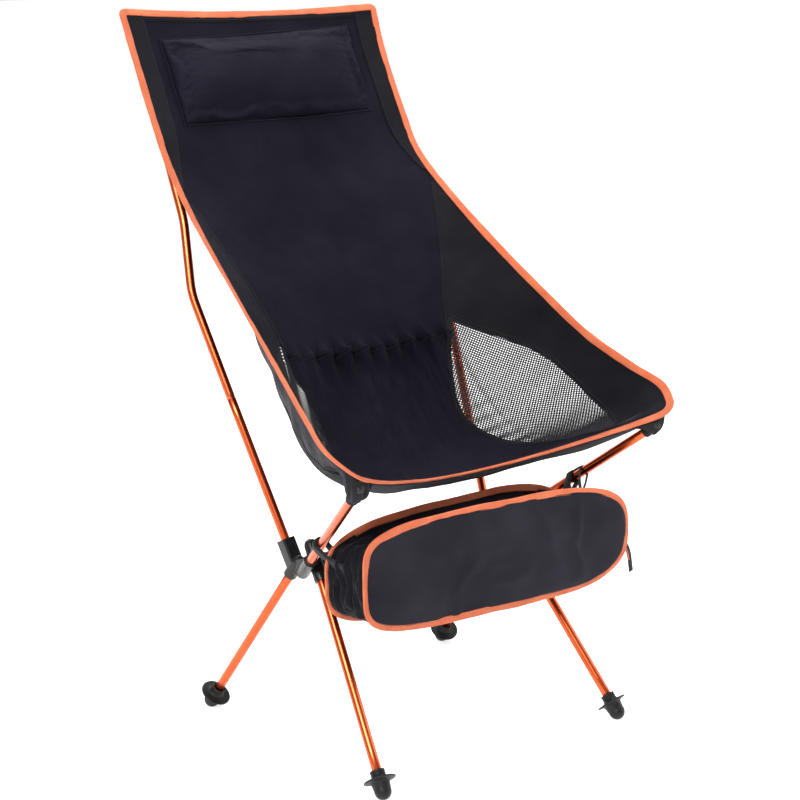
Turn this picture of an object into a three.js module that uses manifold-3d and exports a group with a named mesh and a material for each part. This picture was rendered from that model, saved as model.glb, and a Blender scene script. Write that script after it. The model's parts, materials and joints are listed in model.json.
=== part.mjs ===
// Ultralight high-back camp chair: a shock-corded pole frame with two plastic hubs, a sling hung on four
// pole tips, and a storage bag strapped under the front edge. Millimetres, +Z up, -Y is the chair's front,
// +X its right-hand side seen from the front. Sizes are given from a point on the ground midway between the
// four feet, and the finished chair is then moved so that its origin is under the middle of its own box.
import * as THREE from 'three';
import { mergeVertices } from 'three/addons/utils/BufferGeometryUtils.js';
import Module from 'manifold-3d';

const wasm = await Module();
wasm.setup();

// ---------------------------------------------------------------- driving dimensions

const GAP = 0.35; // clearance between pieces that touch
const SIDES = [['L', -1], ['R', 1]];

const LEG_TUBE = { outer: 6.5, inner: 5.6 };
const BACK_TUBE = { outer: 6.25, inner: 5.35 };
const FERRULE = { outer: 5.0, inner: 4.1, length: 60 };
const CORD_RADIUS = 1.4;
const TUBE_SEGMENTS = 12;
const ROUND = 14; // facets round a moulded piece

// Pole axes on the right-hand side: a point near the hub, and the far end.
const FRONT_LEG = { hub: [170, -5, 250], foot: [209, -190, 22] };
const REAR_LEG = { hub: [176, 36, 250], foot: [214, 190, 22] };
const SEAT_POLE = { hub: [181, 10, 250], tip: [257, -212, 426] };
const BACK_POLE = {
  hub: [175, 44, 250],
  joint: [203.9, 148.5, 465],
  lowerBend: [222, 215, 604],
  upperBend: [211.5, 247, 701],
  top: [198, 396, 970],
};
const BEND_LENGTH = 16; // straight length that each bend of the back pole replaces, on either side
const POLE_STEPS = 20; // sections along the bent pole, and along its cord
const CORD_STEPS = 26;

// Where each socket of the hub starts and ends along its pole's axis, measured from that pole's hub point.
const SOCKET_RADIUS = 9.6;
const SOCKETS = {
  back: { mouth: 34, bottom: 6, closed: -15 },
  seat: { mouth: 34, bottom: 5, closed: -13 },
  front: { mouth: -16, bottom: 12, closed: 37 },
  rear: { mouth: -23, bottom: -5, closed: 4 },
};
const SLEEVE_SIDE = 20.5; // the back pole's socket is a square sleeve
const SLEEVE_CORNER = 3.5;
const WEB = { x: 174, half: 9, radius: 10, rear: [42, 243], front: [3, 257] };
const CROSS_TUBE = { y: 22, z: 252, end: 149, socketMouth: 126, bossRadius: 10.5, bossStart: 170 };

const FOOT = {
  collar: 8.6, collarLength: 17, disc: 22, discThickness: 2.6, bore: 3, tip: 11.3, grip: 8.2,
};
const FOOT_TIP_HEIGHT = 10.5; // height of the centre of a foot's round tip above the ground

// The sling's surface: stations from the top edge to the front edge. rim is the right-hand edge, mid is
// (y, z) on the centre line, power sets how boxy the section is, and bulge how far its wall swells.
const STATIONS = [
  { rim: [222, 381, 982], mid: [392, 974], power: 2.0, bulge: 0 },
  { rim: [219, 350, 912], mid: [363, 908], power: 2.0, bulge: 0 },
  { rim: [219, 300, 821], mid: [318, 815], power: 2.0, bulge: 0 },
  { rim: [220, 262, 765], mid: [285, 750], power: 2.0, bulge: 0 },
  { rim: [229, 186, 701], mid: [228, 668], power: 2.2, bulge: 0.03 },
  { rim: [239, 97, 638], mid: [172, 590], power: 2.5, bulge: 0.08 },
  { rim: [250, 12, 582], mid: [116, 508], power: 2.8, bulge: 0.13 },
  { rim: [262, -67, 532], mid: [70, 430], power: 2.9, bulge: 0.15 },
  { rim: [279, -138, 497], mid: [10, 371], power: 2.8, bulge: 0.14 },
  { rim: [291, -191, 474], mid: [-60, 357], power: 2.5, bulge: 0.07 },
  { rim: [273, -230, 447], mid: [-123, 384], power: 2.0, bulge: 0 },
];
const LAST = STATIONS.length - 1;
const CLOTH = 1.5; // thickness of a sling panel
const BINDING = {
  half: 5, thick: 1.7, clear: 1.2, cornerU: 0.1, cornerV: 0.03, sideSteps: 26, endSteps: 8, cornerSteps: 3,
};

// Seams on that surface, as (station, share of the half width).
const SIDE_SEAM = [
  [3.4, 0.975], [4, 0.87], [4.8, 0.715], [5.5, 0.59], [6.2, 0.5], [6.9, 0.415], [7.4, 0.395],
  [7.8, 0.43], [8.3, 0.488], [8.7, 0.56], [9.2, 0.68], [9.5, 0.76], [9.75, 0.96], [10, 0.98],
];
const MESH_TOP = [
  [5.75, 0.575], [6, 0.66], [6.1, 0.69], [6.35, 0.765], [6.75, 0.838], [7.15, 0.865], [7.7, 0.866], [8.4, 0.845],
  [9.1, 0.815], [9.5, 0.8], [9.75, 0.96],
];
const MESH = { from: 5.75, to: 9.5 };
const SEAT_SEAM = 6;
const COARSE_ROW = 0.5; // spacing of a panel's rows down the flat back
const FINE_ROW = 0.25; // and round the bucket
const FINE_FROM = 3.5;

const PILLOW = { from: 0.5, to: 1.92, half: 0.765, thickness: 40, edge: 3, lift: 1.2 };
const POCKET_WALL = 1.2;
const FRONT_POCKET = { length: 40, clear: 1, past: 2 }; // clear is round the pole, past is beyond its end
const TOP_POCKET = { length: 55, clear: 0.6, past: 1.5 };
const CORD_SIDES = 6;
const CAP_FLANGE = 2;
const CAP_NOSE = 5;

// Storage bag: two rounded panels joined by a gusset that is open along the top.
const BAG_FRONT = { centre: [0, -183, 281], half: [209, 71], round: 0.4, lean: 0.03, turn: -0.09 };
const BAG_REAR = { centre: [0, -78, 269], half: [206, 67], round: 0.5, lean: 0.05, turn: 0.01 };
const BAG_CLOTH = 1.4;
const BAG_COLUMNS = 20;
const GUSSET_COLUMNS = 28;
const PIPING_RADIUS = 3.2;
const PIPING_STEPS = 36;
const GUSSET_FROM = 20; // degrees above the level line where the gusset stops at either end of the mouth
const STRAP = { left: 87, right: 150, inner: 7.2, outer: 8.8, width: 13, tail: 12 };
const PULL_TAB = { at: [219, -150, 292], size: [1.6, 9, 34] };

const COLOURS = {
  anodised: { color: 0xe8722e, roughness: 0.28, metalness: 0.9 },
  alloy: { color: 0xb9bcc0, roughness: 0.35, metalness: 0.9 },
  hub: { color: 0x26262b, roughness: 0.45, metalness: 0 },
  rubber: { color: 0x1c1c1e, roughness: 0.75, metalness: 0 },
  cord: { color: 0x2b2b30, roughness: 0.9, metalness: 0 },
  cloth: { color: 0x1e1e28, roughness: 0.7, metalness: 0 },
  mesh: { color: 0x141418, roughness: 0.8, metalness: 0 },
  binding: { color: 0xf5845a, roughness: 0.75, metalness: 0 },
  bagCloth: { color: 0x33323d, roughness: 0.7, metalness: 0 },
};
const materials = Object.fromEntries(
  Object.entries(COLOURS).map(([name, look]) => [name, new THREE.MeshStandardMaterial(look)]),
);

// ---------------------------------------------------------------- helpers

const chair = new THREE.Group();

function add(name, geometry, look, parent = chair) {
  const mesh = new THREE.Mesh(geometry, materials[look]);
  mesh.name = name;
  parent.add(mesh);
  return mesh;
}

/** A point given for the right-hand side, on the side asked for. */
const onSide = (point, side) => new THREE.Vector3(point[0] * side, point[1], point[2]);

/** An axis that starts at a hub point and runs towards the pole's far end. */
function axisOf(from, to, side) {
  const start = onSide(from, side);
  const along = onSide(to, side).sub(start);
  return { start, direction: along.clone().normalize(), length: along.length() };
}

const pointOn = (axis, distance) => axis.start.clone().addScaledVector(axis.direction, distance);

/** Stands a mesh made along its own +Z on an axis, its origin at a distance along it. */
function placeOn(mesh, axis, distance) {
  mesh.position.copy(pointOn(axis, distance));
  mesh.quaternion.setFromUnitVectors(new THREE.Vector3(0, 0, 1), axis.direction);
  return mesh;
}

function ringShape(outer, inner) {
  const shape = new THREE.Shape().absarc(0, 0, outer, 0, 2 * Math.PI);
  if (inner > 0) shape.holes.push(new THREE.Path().absarc(0, 0, inner, 0, 2 * Math.PI, true));
  return shape;
}

/** A straight tube, or a rod where inner is 0, along +Z. */
function tube(outer, inner, length, segments = TUBE_SEGMENTS) {
  return new THREE.ExtrudeGeometry(ringShape(outer, inner), {
    depth: length, bevelEnabled: false, curveSegments: segments / 2,
  });
}

/** A turned piece along +Z, from a profile of [radius, height] points that starts and ends on the axis. */
function turned(profile, segments) {
  return new THREE.LatheGeometry(profile.map(([r, z]) => new THREE.Vector2(r, z)), segments)
    .rotateX(Math.PI / 2);
}

/** Profile points of a quarter round from the side of a radius up to the axis, above a height. */
const quarterRound = (radius, height, rise, steps = 4) => Array.from({ length: steps }, (_, i) => {
  const angle = ((i + 1) / steps) * (Math.PI / 2);
  return [i + 1 < steps ? radius * Math.cos(angle) : 0, height + rise * Math.sin(angle)];
});

function toSolid(geometry) {
  const bare = geometry.clone();
  bare.deleteAttribute('normal');
  bare.deleteAttribute('uv');
  const merged = mergeVertices(bare, 1e-4);
  return new wasm.Manifold(new wasm.Mesh({
    numProp: 3,
    vertProperties: new Float32Array(merged.attributes.position.array),
    triVerts: new Uint32Array(merged.index.array),
  }));
}

function fromSolid(solid) {
  const mesh = solid.getMesh();
  const geometry = new THREE.BufferGeometry();
  geometry.setAttribute('position', new THREE.BufferAttribute(mesh.vertProperties, mesh.numProp));
  geometry.setIndex(new THREE.BufferAttribute(mesh.triVerts, 1));
  geometry.computeVertexNormals();
  return geometry;
}

/** A geometry along +Z moved onto an axis, as a solid. */
function solidOn(geometry, axis, distance) {
  const holder = placeOn(new THREE.Object3D(), axis, distance);
  holder.updateMatrix();
  return toSolid(geometry.applyMatrix4(holder.matrix));
}

/** Moves every vertex of a closed geometry by a function, and keeps its faces pointing out. */
function remap(geometry, move) {
  const position = geometry.attributes.position;
  for (let i = 0; i < position.count; i++) {
    const p = move(position.getX(i), position.getY(i), position.getZ(i));
    position.setXYZ(i, p.x, p.y, p.z);
  }
  const index = geometry.index.array;
  const corner = [new THREE.Vector3(), new THREE.Vector3(), new THREE.Vector3()];
  let volume = 0;
  for (let i = 0; i < index.length; i += 3) {
    corner.forEach((c, k) => c.fromBufferAttribute(position, index[i + k]));
    volume += corner[0].dot(corner[1].clone().cross(corner[2]));
  }
  if (volume < 0) {
    for (let i = 0; i < index.length; i += 3) [index[i + 1], index[i + 2]] = [index[i + 2], index[i + 1]];
  }
  geometry.computeVertexNormals();
  return geometry;
}

/** A sheet: a flat box of columns by rows whose vertices are placed by move(a, b, c), each from 0 to 1. */
function sheet(columns, rows, move) {
  const share = (value, steps) => Math.round((value + 0.5) * steps) / steps;
  return remap(new THREE.BoxGeometry(1, 1, 1, columns, rows, 1),
    (x, y, z) => move(share(x, columns), share(y, rows), share(z, 1)));
}

/** A closed ring: move(turn, angle) places its section's points, turn going from 0 to 1 round the loop. */
function loop(steps, sectionSides, move) {
  const ring = new THREE.TorusGeometry(10, 1, sectionSides, steps);
  return remap(ring, (x, y, z) => {
    const turn = Math.round((Math.atan2(y, x) / (2 * Math.PI)) * steps + steps) % steps;
    const angle = Math.round((Math.atan2(z, Math.hypot(x, y) - 10) / (2 * Math.PI)) * sectionSides
      + sectionSides) % sectionSides;
    return move(turn / steps, (angle / sectionSides) * 2 * Math.PI);
  });
}

/** The value at x on the straight lines through a few (x, y) points. */
function through(points, x) {
  if (x <= points[0][0]) return points[0][1];
  const i = points.findIndex((p) => p[0] > x);
  if (i < 0) return points[points.length - 1][1];
  const [x0, y0] = points[i - 1];
  const [x1, y1] = points[i];
  return y0 + (y1 - y0) * ((x - x0) / (x1 - x0));
}

/** Catmull-Rom blend of four values at t from 0 to 1. */
const blend = (a, b, c, d, t) => 0.5 * (2 * b + (c - a) * t + (2 * a - 5 * b + 4 * c - d) * t * t
  + (3 * b - a - 3 * c + d) * t * t * t);

// ---------------------------------------------------------------- frame

function hub(side) {
  const axes = {
    back: axisOf(BACK_POLE.hub, BACK_POLE.lowerBend, side),
    seat: axisOf(SEAT_POLE.hub, SEAT_POLE.tip, side),
    front: axisOf(FRONT_LEG.foot, FRONT_LEG.hub, side),
    rear: axisOf(REAR_LEG.foot, REAR_LEG.hub, side),
  };
  axes.front.start = onSide(FRONT_LEG.hub, side);
  axes.rear.start = onSide(REAR_LEG.hub, side);

  // Core web: a rounded bar across the chair's side plane, from the rear sockets to the front ones.
  const [ry, rz] = WEB.rear;
  const [fy, fz] = WEB.front;
  const lean = Math.atan2(rz - fz, ry - fy);
  const bar = new THREE.Shape()
    .absarc(ry, rz, WEB.radius, lean - Math.PI / 2, lean + Math.PI / 2)
    .absarc(fy, fz, WEB.radius, lean + Math.PI / 2, lean + 1.5 * Math.PI);
  const web = new THREE.ExtrudeGeometry(bar, {
    depth: 2 * WEB.half, bevelEnabled: false, curveSegments: 8,
  });
  web.applyMatrix4(new THREE.Matrix4().makeBasis(
    new THREE.Vector3(0, 1, 0), new THREE.Vector3(0, 0, 1), new THREE.Vector3(1, 0, 0),
  ));
  web.translate(WEB.x * side - WEB.half, 0, 0);
  let body = toSolid(web);

  // Square sleeve for the back pole.
  const h = SLEEVE_SIDE / 2;
  const c = SLEEVE_CORNER;
  const square = new THREE.Shape()
    .absarc(h - c, h - c, c, 0, Math.PI / 2)
    .absarc(c - h, h - c, c, Math.PI / 2, Math.PI)
    .absarc(c - h, c - h, c, Math.PI, 1.5 * Math.PI)
    .absarc(h - c, c - h, c, 1.5 * Math.PI, 2 * Math.PI);
  const { mouth, closed } = SOCKETS.back;
  body = body.add(solidOn(new THREE.ExtrudeGeometry(square, {
    depth: mouth - closed, bevelEnabled: false, curveSegments: 3,
  }), axes.back, closed));

  // Round barrels for the seat pole and the legs, each with a domed closed end.
  for (const name of ['seat', 'front', 'rear']) {
    const socket = SOCKETS[name];
    const low = Math.min(socket.mouth, socket.closed);
    const high = Math.max(socket.mouth, socket.closed);
    body = body.add(solidOn(tube(SOCKET_RADIUS, 0, high - low, ROUND), axes[name], low));
    const dome = new THREE.SphereGeometry(SOCKET_RADIUS, ROUND, ROUND / 2);
    body = body.add(solidOn(dome, axes[name], socket.closed));
  }

  // Boss that takes the tube between the two hubs.
  const across = {
    start: new THREE.Vector3(0, CROSS_TUBE.y, CROSS_TUBE.z),
    direction: new THREE.Vector3(side, 0, 0),
  };
  const bossLength = CROSS_TUBE.bossStart - CROSS_TUBE.socketMouth;
  body = body.add(solidOn(tube(CROSS_TUBE.bossRadius, 0, bossLength, ROUND), across, CROSS_TUBE.socketMouth));

  // Bores.
  const bore = LEG_TUBE.outer + GAP;
  for (const [name, socket] of Object.entries(SOCKETS)) {
    const out = Math.sign(socket.mouth - socket.bottom);
    const low = Math.min(socket.bottom - out * GAP, socket.mouth + out);
    const high = Math.max(socket.bottom - out * GAP, socket.mouth + out);
    body = body.subtract(solidOn(tube(bore, 0, high - low, ROUND), axes[name], low));
  }
  const crossDepth = CROSS_TUBE.end + GAP - CROSS_TUBE.socketMouth + 1;
  body = body.subtract(solidOn(tube(bore, 0, crossDepth, ROUND), across, CROSS_TUBE.socketMouth - 1));
  return { geometry: fromSolid(body), axes };
}

function foot(axis, tipDistance) {
  // Profile up the leg's axis: round tip, grip, flange disc, collar, and the bore that takes the leg.
  const { tip, disc, discThickness: edge, collar } = FOOT;
  const bore = LEG_TUBE.outer + GAP;
  const round = quarterRound(tip, tipDistance, tip, 5).reverse().map(([r, z]) => [r, -z]);
  const profile = [
    ...round, [tip, -tipDistance], [FOOT.grip, -edge], [disc - 1, -edge / 2], [disc, 0], [disc - 1, edge / 2],
    [collar + 1, edge], [collar, edge + 2], [collar, FOOT.collarLength], [bore, FOOT.collarLength],
    [bore, FOOT.bore], [0, FOOT.bore],
  ];
  const solid = solidOn(turned(profile, ROUND), axis, 0);
  const reach = 4 * FOOT.disc;
  const ground = new THREE.BoxGeometry(reach, reach, reach);
  ground.translate(axis.start.x, axis.start.y, -reach / 2);
  return fromSolid(solid.subtract(toSolid(ground)));
}

function leg(name, ends, socket, side) {
  const axis = axisOf(ends.foot, ends.hub, side);
  const group = new THREE.Group();
  chair.add(group);
  const low = FOOT.bore + GAP;
  const high = axis.length + socket.bottom;
  placeOn(add(`${name}_tube`, tube(LEG_TUBE.outer, LEG_TUBE.inner, high - low), 'anodised', group), axis, low);
  placeOn(add(`${name}_shock_cord`, tube(CORD_RADIUS, 0, high - low, CORD_SIDES), 'cord', group), axis, low);
  const rise = axis.direction.z;
  add(`${name}_foot`, foot(axis, (ends.foot[2] - FOOT_TIP_HEIGHT) / rise), 'rubber', group);
}

/** Back pole from its joint up: two bends, made as one path of straights and rounded corners. */
function backPolePath(side) {
  const corners = ['joint', 'lowerBend', 'upperBend', 'top'].map((key) => onSide(BACK_POLE[key], side));
  const path = new THREE.CurvePath();
  let from = corners[0];
  for (let i = 1; i < corners.length - 1; i++) {
    const into = corners[i].clone().sub(corners[i - 1]).normalize();
    const out = corners[i + 1].clone().sub(corners[i]).normalize();
    const start = corners[i].clone().addScaledVector(into, -BEND_LENGTH);
    const end = corners[i].clone().addScaledVector(out, BEND_LENGTH);
    path.add(new THREE.LineCurve3(from, start));
    path.add(new THREE.QuadraticBezierCurve3(start, corners[i], end));
    from = end;
  }
  path.add(new THREE.LineCurve3(from, corners[corners.length - 1]));
  return path;
}

function bentTube(path, outer, inner, steps, segments) {
  return new THREE.ExtrudeGeometry(ringShape(outer, inner), {
    steps, extrudePath: path, curveSegments: segments / 2,
  });
}

/** A cap on the end of a pole, sitting on its rim: a flange and a round nose. */
const tipCap = (outer) => turned(
  [[0, 0], [outer, 0], [outer, CAP_FLANGE], ...quarterRound(outer, CAP_FLANGE, CAP_NOSE)], TUBE_SEGMENTS,
);

/** A fabric pocket that a pole tip pushes into: a round-ended cup, open towards -Z. */
function pocket(inner, length) {
  const outer = inner + POCKET_WALL;
  const inside = [[inner, 0], ...quarterRound(inner, 0, inner)].reverse();
  return turned([...inside, [inner, -length], [outer, -length], [outer, 0], ...quarterRound(outer, 0, outer)],
    TUBE_SEGMENTS);
}

function frame() {
  const inset = CROSS_TUBE.end;
  const across = {
    start: new THREE.Vector3(0, CROSS_TUBE.y, CROSS_TUBE.z), direction: new THREE.Vector3(1, 0, 0),
  };
  placeOn(add('cross_tube', tube(LEG_TUBE.outer, LEG_TUBE.inner, 2 * inset), 'anodised'), across, -inset);
  placeOn(add('cross_shock_cord', tube(CORD_RADIUS, 0, 2 * inset, CORD_SIDES), 'cord'), across, -inset);

  for (const [tag, side] of SIDES) {
    const { geometry, axes } = hub(side);
    add(`hub_${tag}`, geometry, 'hub');
    leg(`front_leg_${tag}`, FRONT_LEG, SOCKETS.front, side);
    leg(`rear_leg_${tag}`, REAR_LEG, SOCKETS.rear, side);

    // Seat pole, its cord and cap, and the sling's corner pocket over it.
    const seatLength = axes.seat.length - SOCKETS.seat.bottom;
    placeOn(add(`seat_pole_${tag}`, tube(LEG_TUBE.outer, LEG_TUBE.inner, seatLength), 'anodised'),
      axes.seat, SOCKETS.seat.bottom);
    placeOn(add(`seat_pole_shock_cord_${tag}`, tube(CORD_RADIUS, 0, seatLength, CORD_SIDES), 'cord'),
      axes.seat, SOCKETS.seat.bottom);
    placeOn(add(`seat_pole_cap_${tag}`, tipCap(LEG_TUBE.outer), 'rubber'), axes.seat, axes.seat.length + GAP);
    placeOn(add(`front_pocket_${tag}`, pocket(LEG_TUBE.outer + FRONT_POCKET.clear, FRONT_POCKET.length), 'cloth'),
      axes.seat, axes.seat.length + FRONT_POCKET.past);

    // Back pole: a straight lower section, a ferrule, and a bent upper section.
    const joint = axisOf(BACK_POLE.hub, BACK_POLE.joint, side);
    const lowerLength = joint.length - SOCKETS.back.bottom - GAP;
    placeOn(add(`back_pole_lower_${tag}`, tube(BACK_TUBE.outer, BACK_TUBE.inner, lowerLength), 'anodised'),
      joint, SOCKETS.back.bottom);
    placeOn(add(`back_pole_ferrule_${tag}`, tube(FERRULE.outer, FERRULE.inner, FERRULE.length), 'alloy'),
      joint, joint.length - FERRULE.length / 2);
    const path = backPolePath(side);
    add(`back_pole_upper_${tag}`, bentTube(path, BACK_TUBE.outer, BACK_TUBE.inner, POLE_STEPS, TUBE_SEGMENTS),
      'anodised');
    const whole = backPolePath(side);
    whole.curves.unshift(new THREE.LineCurve3(pointOn(joint, SOCKETS.back.bottom), onSide(BACK_POLE.joint, side)));
    add(`back_pole_shock_cord_${tag}`, bentTube(whole, CORD_RADIUS, 0, CORD_STEPS, CORD_SIDES), 'cord');
    const top = axisOf(BACK_POLE.upperBend, BACK_POLE.top, side);
    placeOn(add(`back_pole_cap_${tag}`, tipCap(BACK_TUBE.outer), 'rubber'), top, top.length + GAP);
    placeOn(add(`top_pocket_${tag}`, pocket(BACK_TUBE.outer + TOP_POCKET.clear, TOP_POCKET.length), 'cloth'),
      top, top.length + TOP_POCKET.past);
  }
}

// ---------------------------------------------------------------- sling

/** A point of the sling's middle surface: u runs over the stations, v from -1 at the left rim to 1. */
function slingPoint(u, v) {
  const i = Math.min(Math.floor(u), LAST - 1);
  const t = u - i;
  const near = [i - 1, i, i + 1, i + 2].map((k) => STATIONS[Math.min(Math.max(k, 0), LAST)]);
  const value = (read) => blend(...near.map(read), t);
  const size = Math.abs(v);
  const rise = size ** value((s) => s.power);
  const x = value((s) => s.rim[0]) * v * (1 + value((s) => s.bulge) * (1 - size * size));
  const y = value((s) => s.mid[0]);
  const z = value((s) => s.mid[1]);
  return new THREE.Vector3(
    x, y + (value((s) => s.rim[1]) - y) * rise, z + (value((s) => s.rim[2]) - z) * rise,
  );
}

/** Directions of the surface at a point: along u, along v, and the normal on the sitter's side. */
function slingFrame(u, v) {
  const d = 0.01;
  const alongU = slingPoint(Math.min(u + d, LAST), v).sub(slingPoint(Math.max(u - d, 0), v));
  const alongV = slingPoint(u, Math.min(v + d, 1)).sub(slingPoint(u, Math.max(v - d, -1)));
  const stretchU = alongU.length() / (Math.min(u + d, LAST) - Math.max(u - d, 0));
  const stretchV = alongV.length() / (Math.min(v + d, 1) - Math.max(v - d, -1));
  return { normal: alongV.clone().cross(alongU).negate().normalize(), stretchU, stretchV };
}

const EDGE = BINDING.half + BINDING.clear; // from the rim line to the edge of the cloth
const sideLimit = (u) => 1 - EDGE / slingFrame(u, 0.99).stretchV;
const topLimit = EDGE / slingFrame(0, 0).stretchU;
const frontLimit = LAST - EDGE / slingFrame(LAST, 0).stretchU;

/** The stations of a panel's rows between two of them: both ends, and the shared rows in between. */
function rowsBetween(from, to) {
  const rows = [from];
  for (let u = 0; u < to; u += u < FINE_FROM ? COARSE_ROW : FINE_ROW) if (u > from) rows.push(u);
  return [...rows, to];
}

/** A panel of the sling between two stations and two limits across. */
function panel(rows, across, low, high, offset = () => [-CLOTH / 2, CLOTH / 2]) {
  return sheet(rows.length - 1, across, (a, b, c) => {
    const u = rows[Math.round(a * (rows.length - 1))];
    const v = low(u) + (high(u) - low(u)) * b;
    const [back, front] = offset(a, b);
    return slingPoint(u, v).addScaledVector(slingFrame(u, v).normal, back + (front - back) * c);
  });
}

/** Evenly spaced (u, v) points from one place up to, and without, another. */
const stretch = (count, from, to) => Array.from({ length: count },
  (_, i) => from.map((value, k) => value + ((to[k] - value) * i) / count));

/** A quarter turn of (u, v) points round a corner of the sling, starting at a number of quarter turns. */
const turn = (centre, quarters) => Array.from({ length: BINDING.cornerSteps }, (_, i) => {
  const angle = (quarters - i / BINDING.cornerSteps) * (Math.PI / 2);
  return [centre[0] + BINDING.cornerU * Math.cos(angle), centre[1] + BINDING.cornerV * Math.sin(angle)];
});

function sling() {
  const seamGap = 0.003; // half the gap at a seam, as a share of the half width
  const seam = (u) => through(SIDE_SEAM, u);
  const arch = (u) => Math.max(seam(u), through(MESH_TOP, u));
  const corner = (u) => (u < topLimit + 0.02 || u > frontLimit - 0.02 ? BINDING.cornerV : 0);
  const half = (u) => Math.min(sideLimit(u), seam(u) - seamGap) - corner(u);

  add('back_panel', panel(rowsBetween(topLimit, SEAT_SEAM), 8, (u) => -half(u), half), 'cloth');
  add('seat_panel', panel(rowsBetween(SEAT_SEAM + 0.01, frontLimit), 12, (u) => -half(u), half), 'cloth');
  for (const [tag, side] of SIDES) {
    const inner = (u) => side * ((u < MESH.from ? seam(u) : arch(u)) + seamGap);
    const outer = (u) => side * sideLimit(u);
    add(`side_panel_${tag}`, panel(rowsBetween(FINE_FROM, 9.75), 3, inner, outer), 'cloth');
    add(`mesh_panel_${tag}`, panel(rowsBetween(MESH.from, MESH.to), 3, (u) => side * (seam(u) + seamGap),
      (u) => side * (arch(u) - seamGap)), 'mesh');
  }

  // Binding round the whole edge, on a path over (u, v) with small rounded corners.
  const [lowU, highU, highV] = [BINDING.cornerU, LAST - BINDING.cornerU, 1 - BINDING.cornerV];
  const { sideSteps, endSteps } = BINDING;
  const path = [
    ...stretch(endSteps, [0, -highV], [0, highV]), ...turn([lowU, highV], 2),
    ...stretch(sideSteps, [lowU, 1], [highU, 1]), ...turn([highU, highV], 1),
    ...stretch(endSteps, [LAST, highV], [LAST, -highV]), ...turn([highU, -highV], 0),
    ...stretch(sideSteps, [highU, -1], [lowU, -1]), ...turn([lowU, -highV], -1),
  ];
  const points = path.map(([u, v]) => slingPoint(u, v));
  const normals = path.map(([u, v]) => slingFrame(u, v).normal);
  add('edge_binding', loop(path.length, 6, (share, angle) => {
    const i = Math.round(share * path.length) % path.length;
    const next = points[(i + 1) % path.length];
    const last = points[(i + path.length - 1) % path.length];
    const along = next.clone().sub(last).normalize();
    const across = along.cross(normals[i]).normalize();
    return points[i].clone()
      .addScaledVector(across, BINDING.half * Math.cos(angle))
      .addScaledVector(normals[i], BINDING.thick * Math.sin(angle));
  }), 'binding');

  // Stuffed headrest pillow on the sitter's side, thickest along its middle.
  const rows = Array.from({ length: 9 }, (_, i) => PILLOW.from + ((PILLOW.to - PILLOW.from) * i) / 8);
  add('headrest_pillow', panel(rows, 10, () => -PILLOW.half, () => PILLOW.half, (a, b) => {
    const crown = (1 - (2 * a - 1) ** 4) ** 0.5 * (1 - (2 * b - 1) ** 8) ** 0.5;
    const base = CLOTH / 2 + PILLOW.lift;
    return [base, base + PILLOW.edge + (PILLOW.thickness - PILLOW.edge) * crown];
  }), 'cloth');
}

// ---------------------------------------------------------------- storage bag

/** A point on a bag panel: angle round its rounded outline, size 1 at the outline, out along its normal. */
function bagPoint(face, angle, size, out = 0) {
  const power = (value) => Math.sign(value) * Math.abs(value) ** face.round;
  const x = face.half[0] * size * power(Math.cos(angle));
  const up = face.half[1] * size * power(Math.sin(angle));
  return new THREE.Vector3(
    face.centre[0] + x,
    face.centre[1] + x * face.turn + up * Math.sin(face.lean) + out,
    face.centre[2] + up * Math.cos(face.lean),
  );
}

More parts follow.
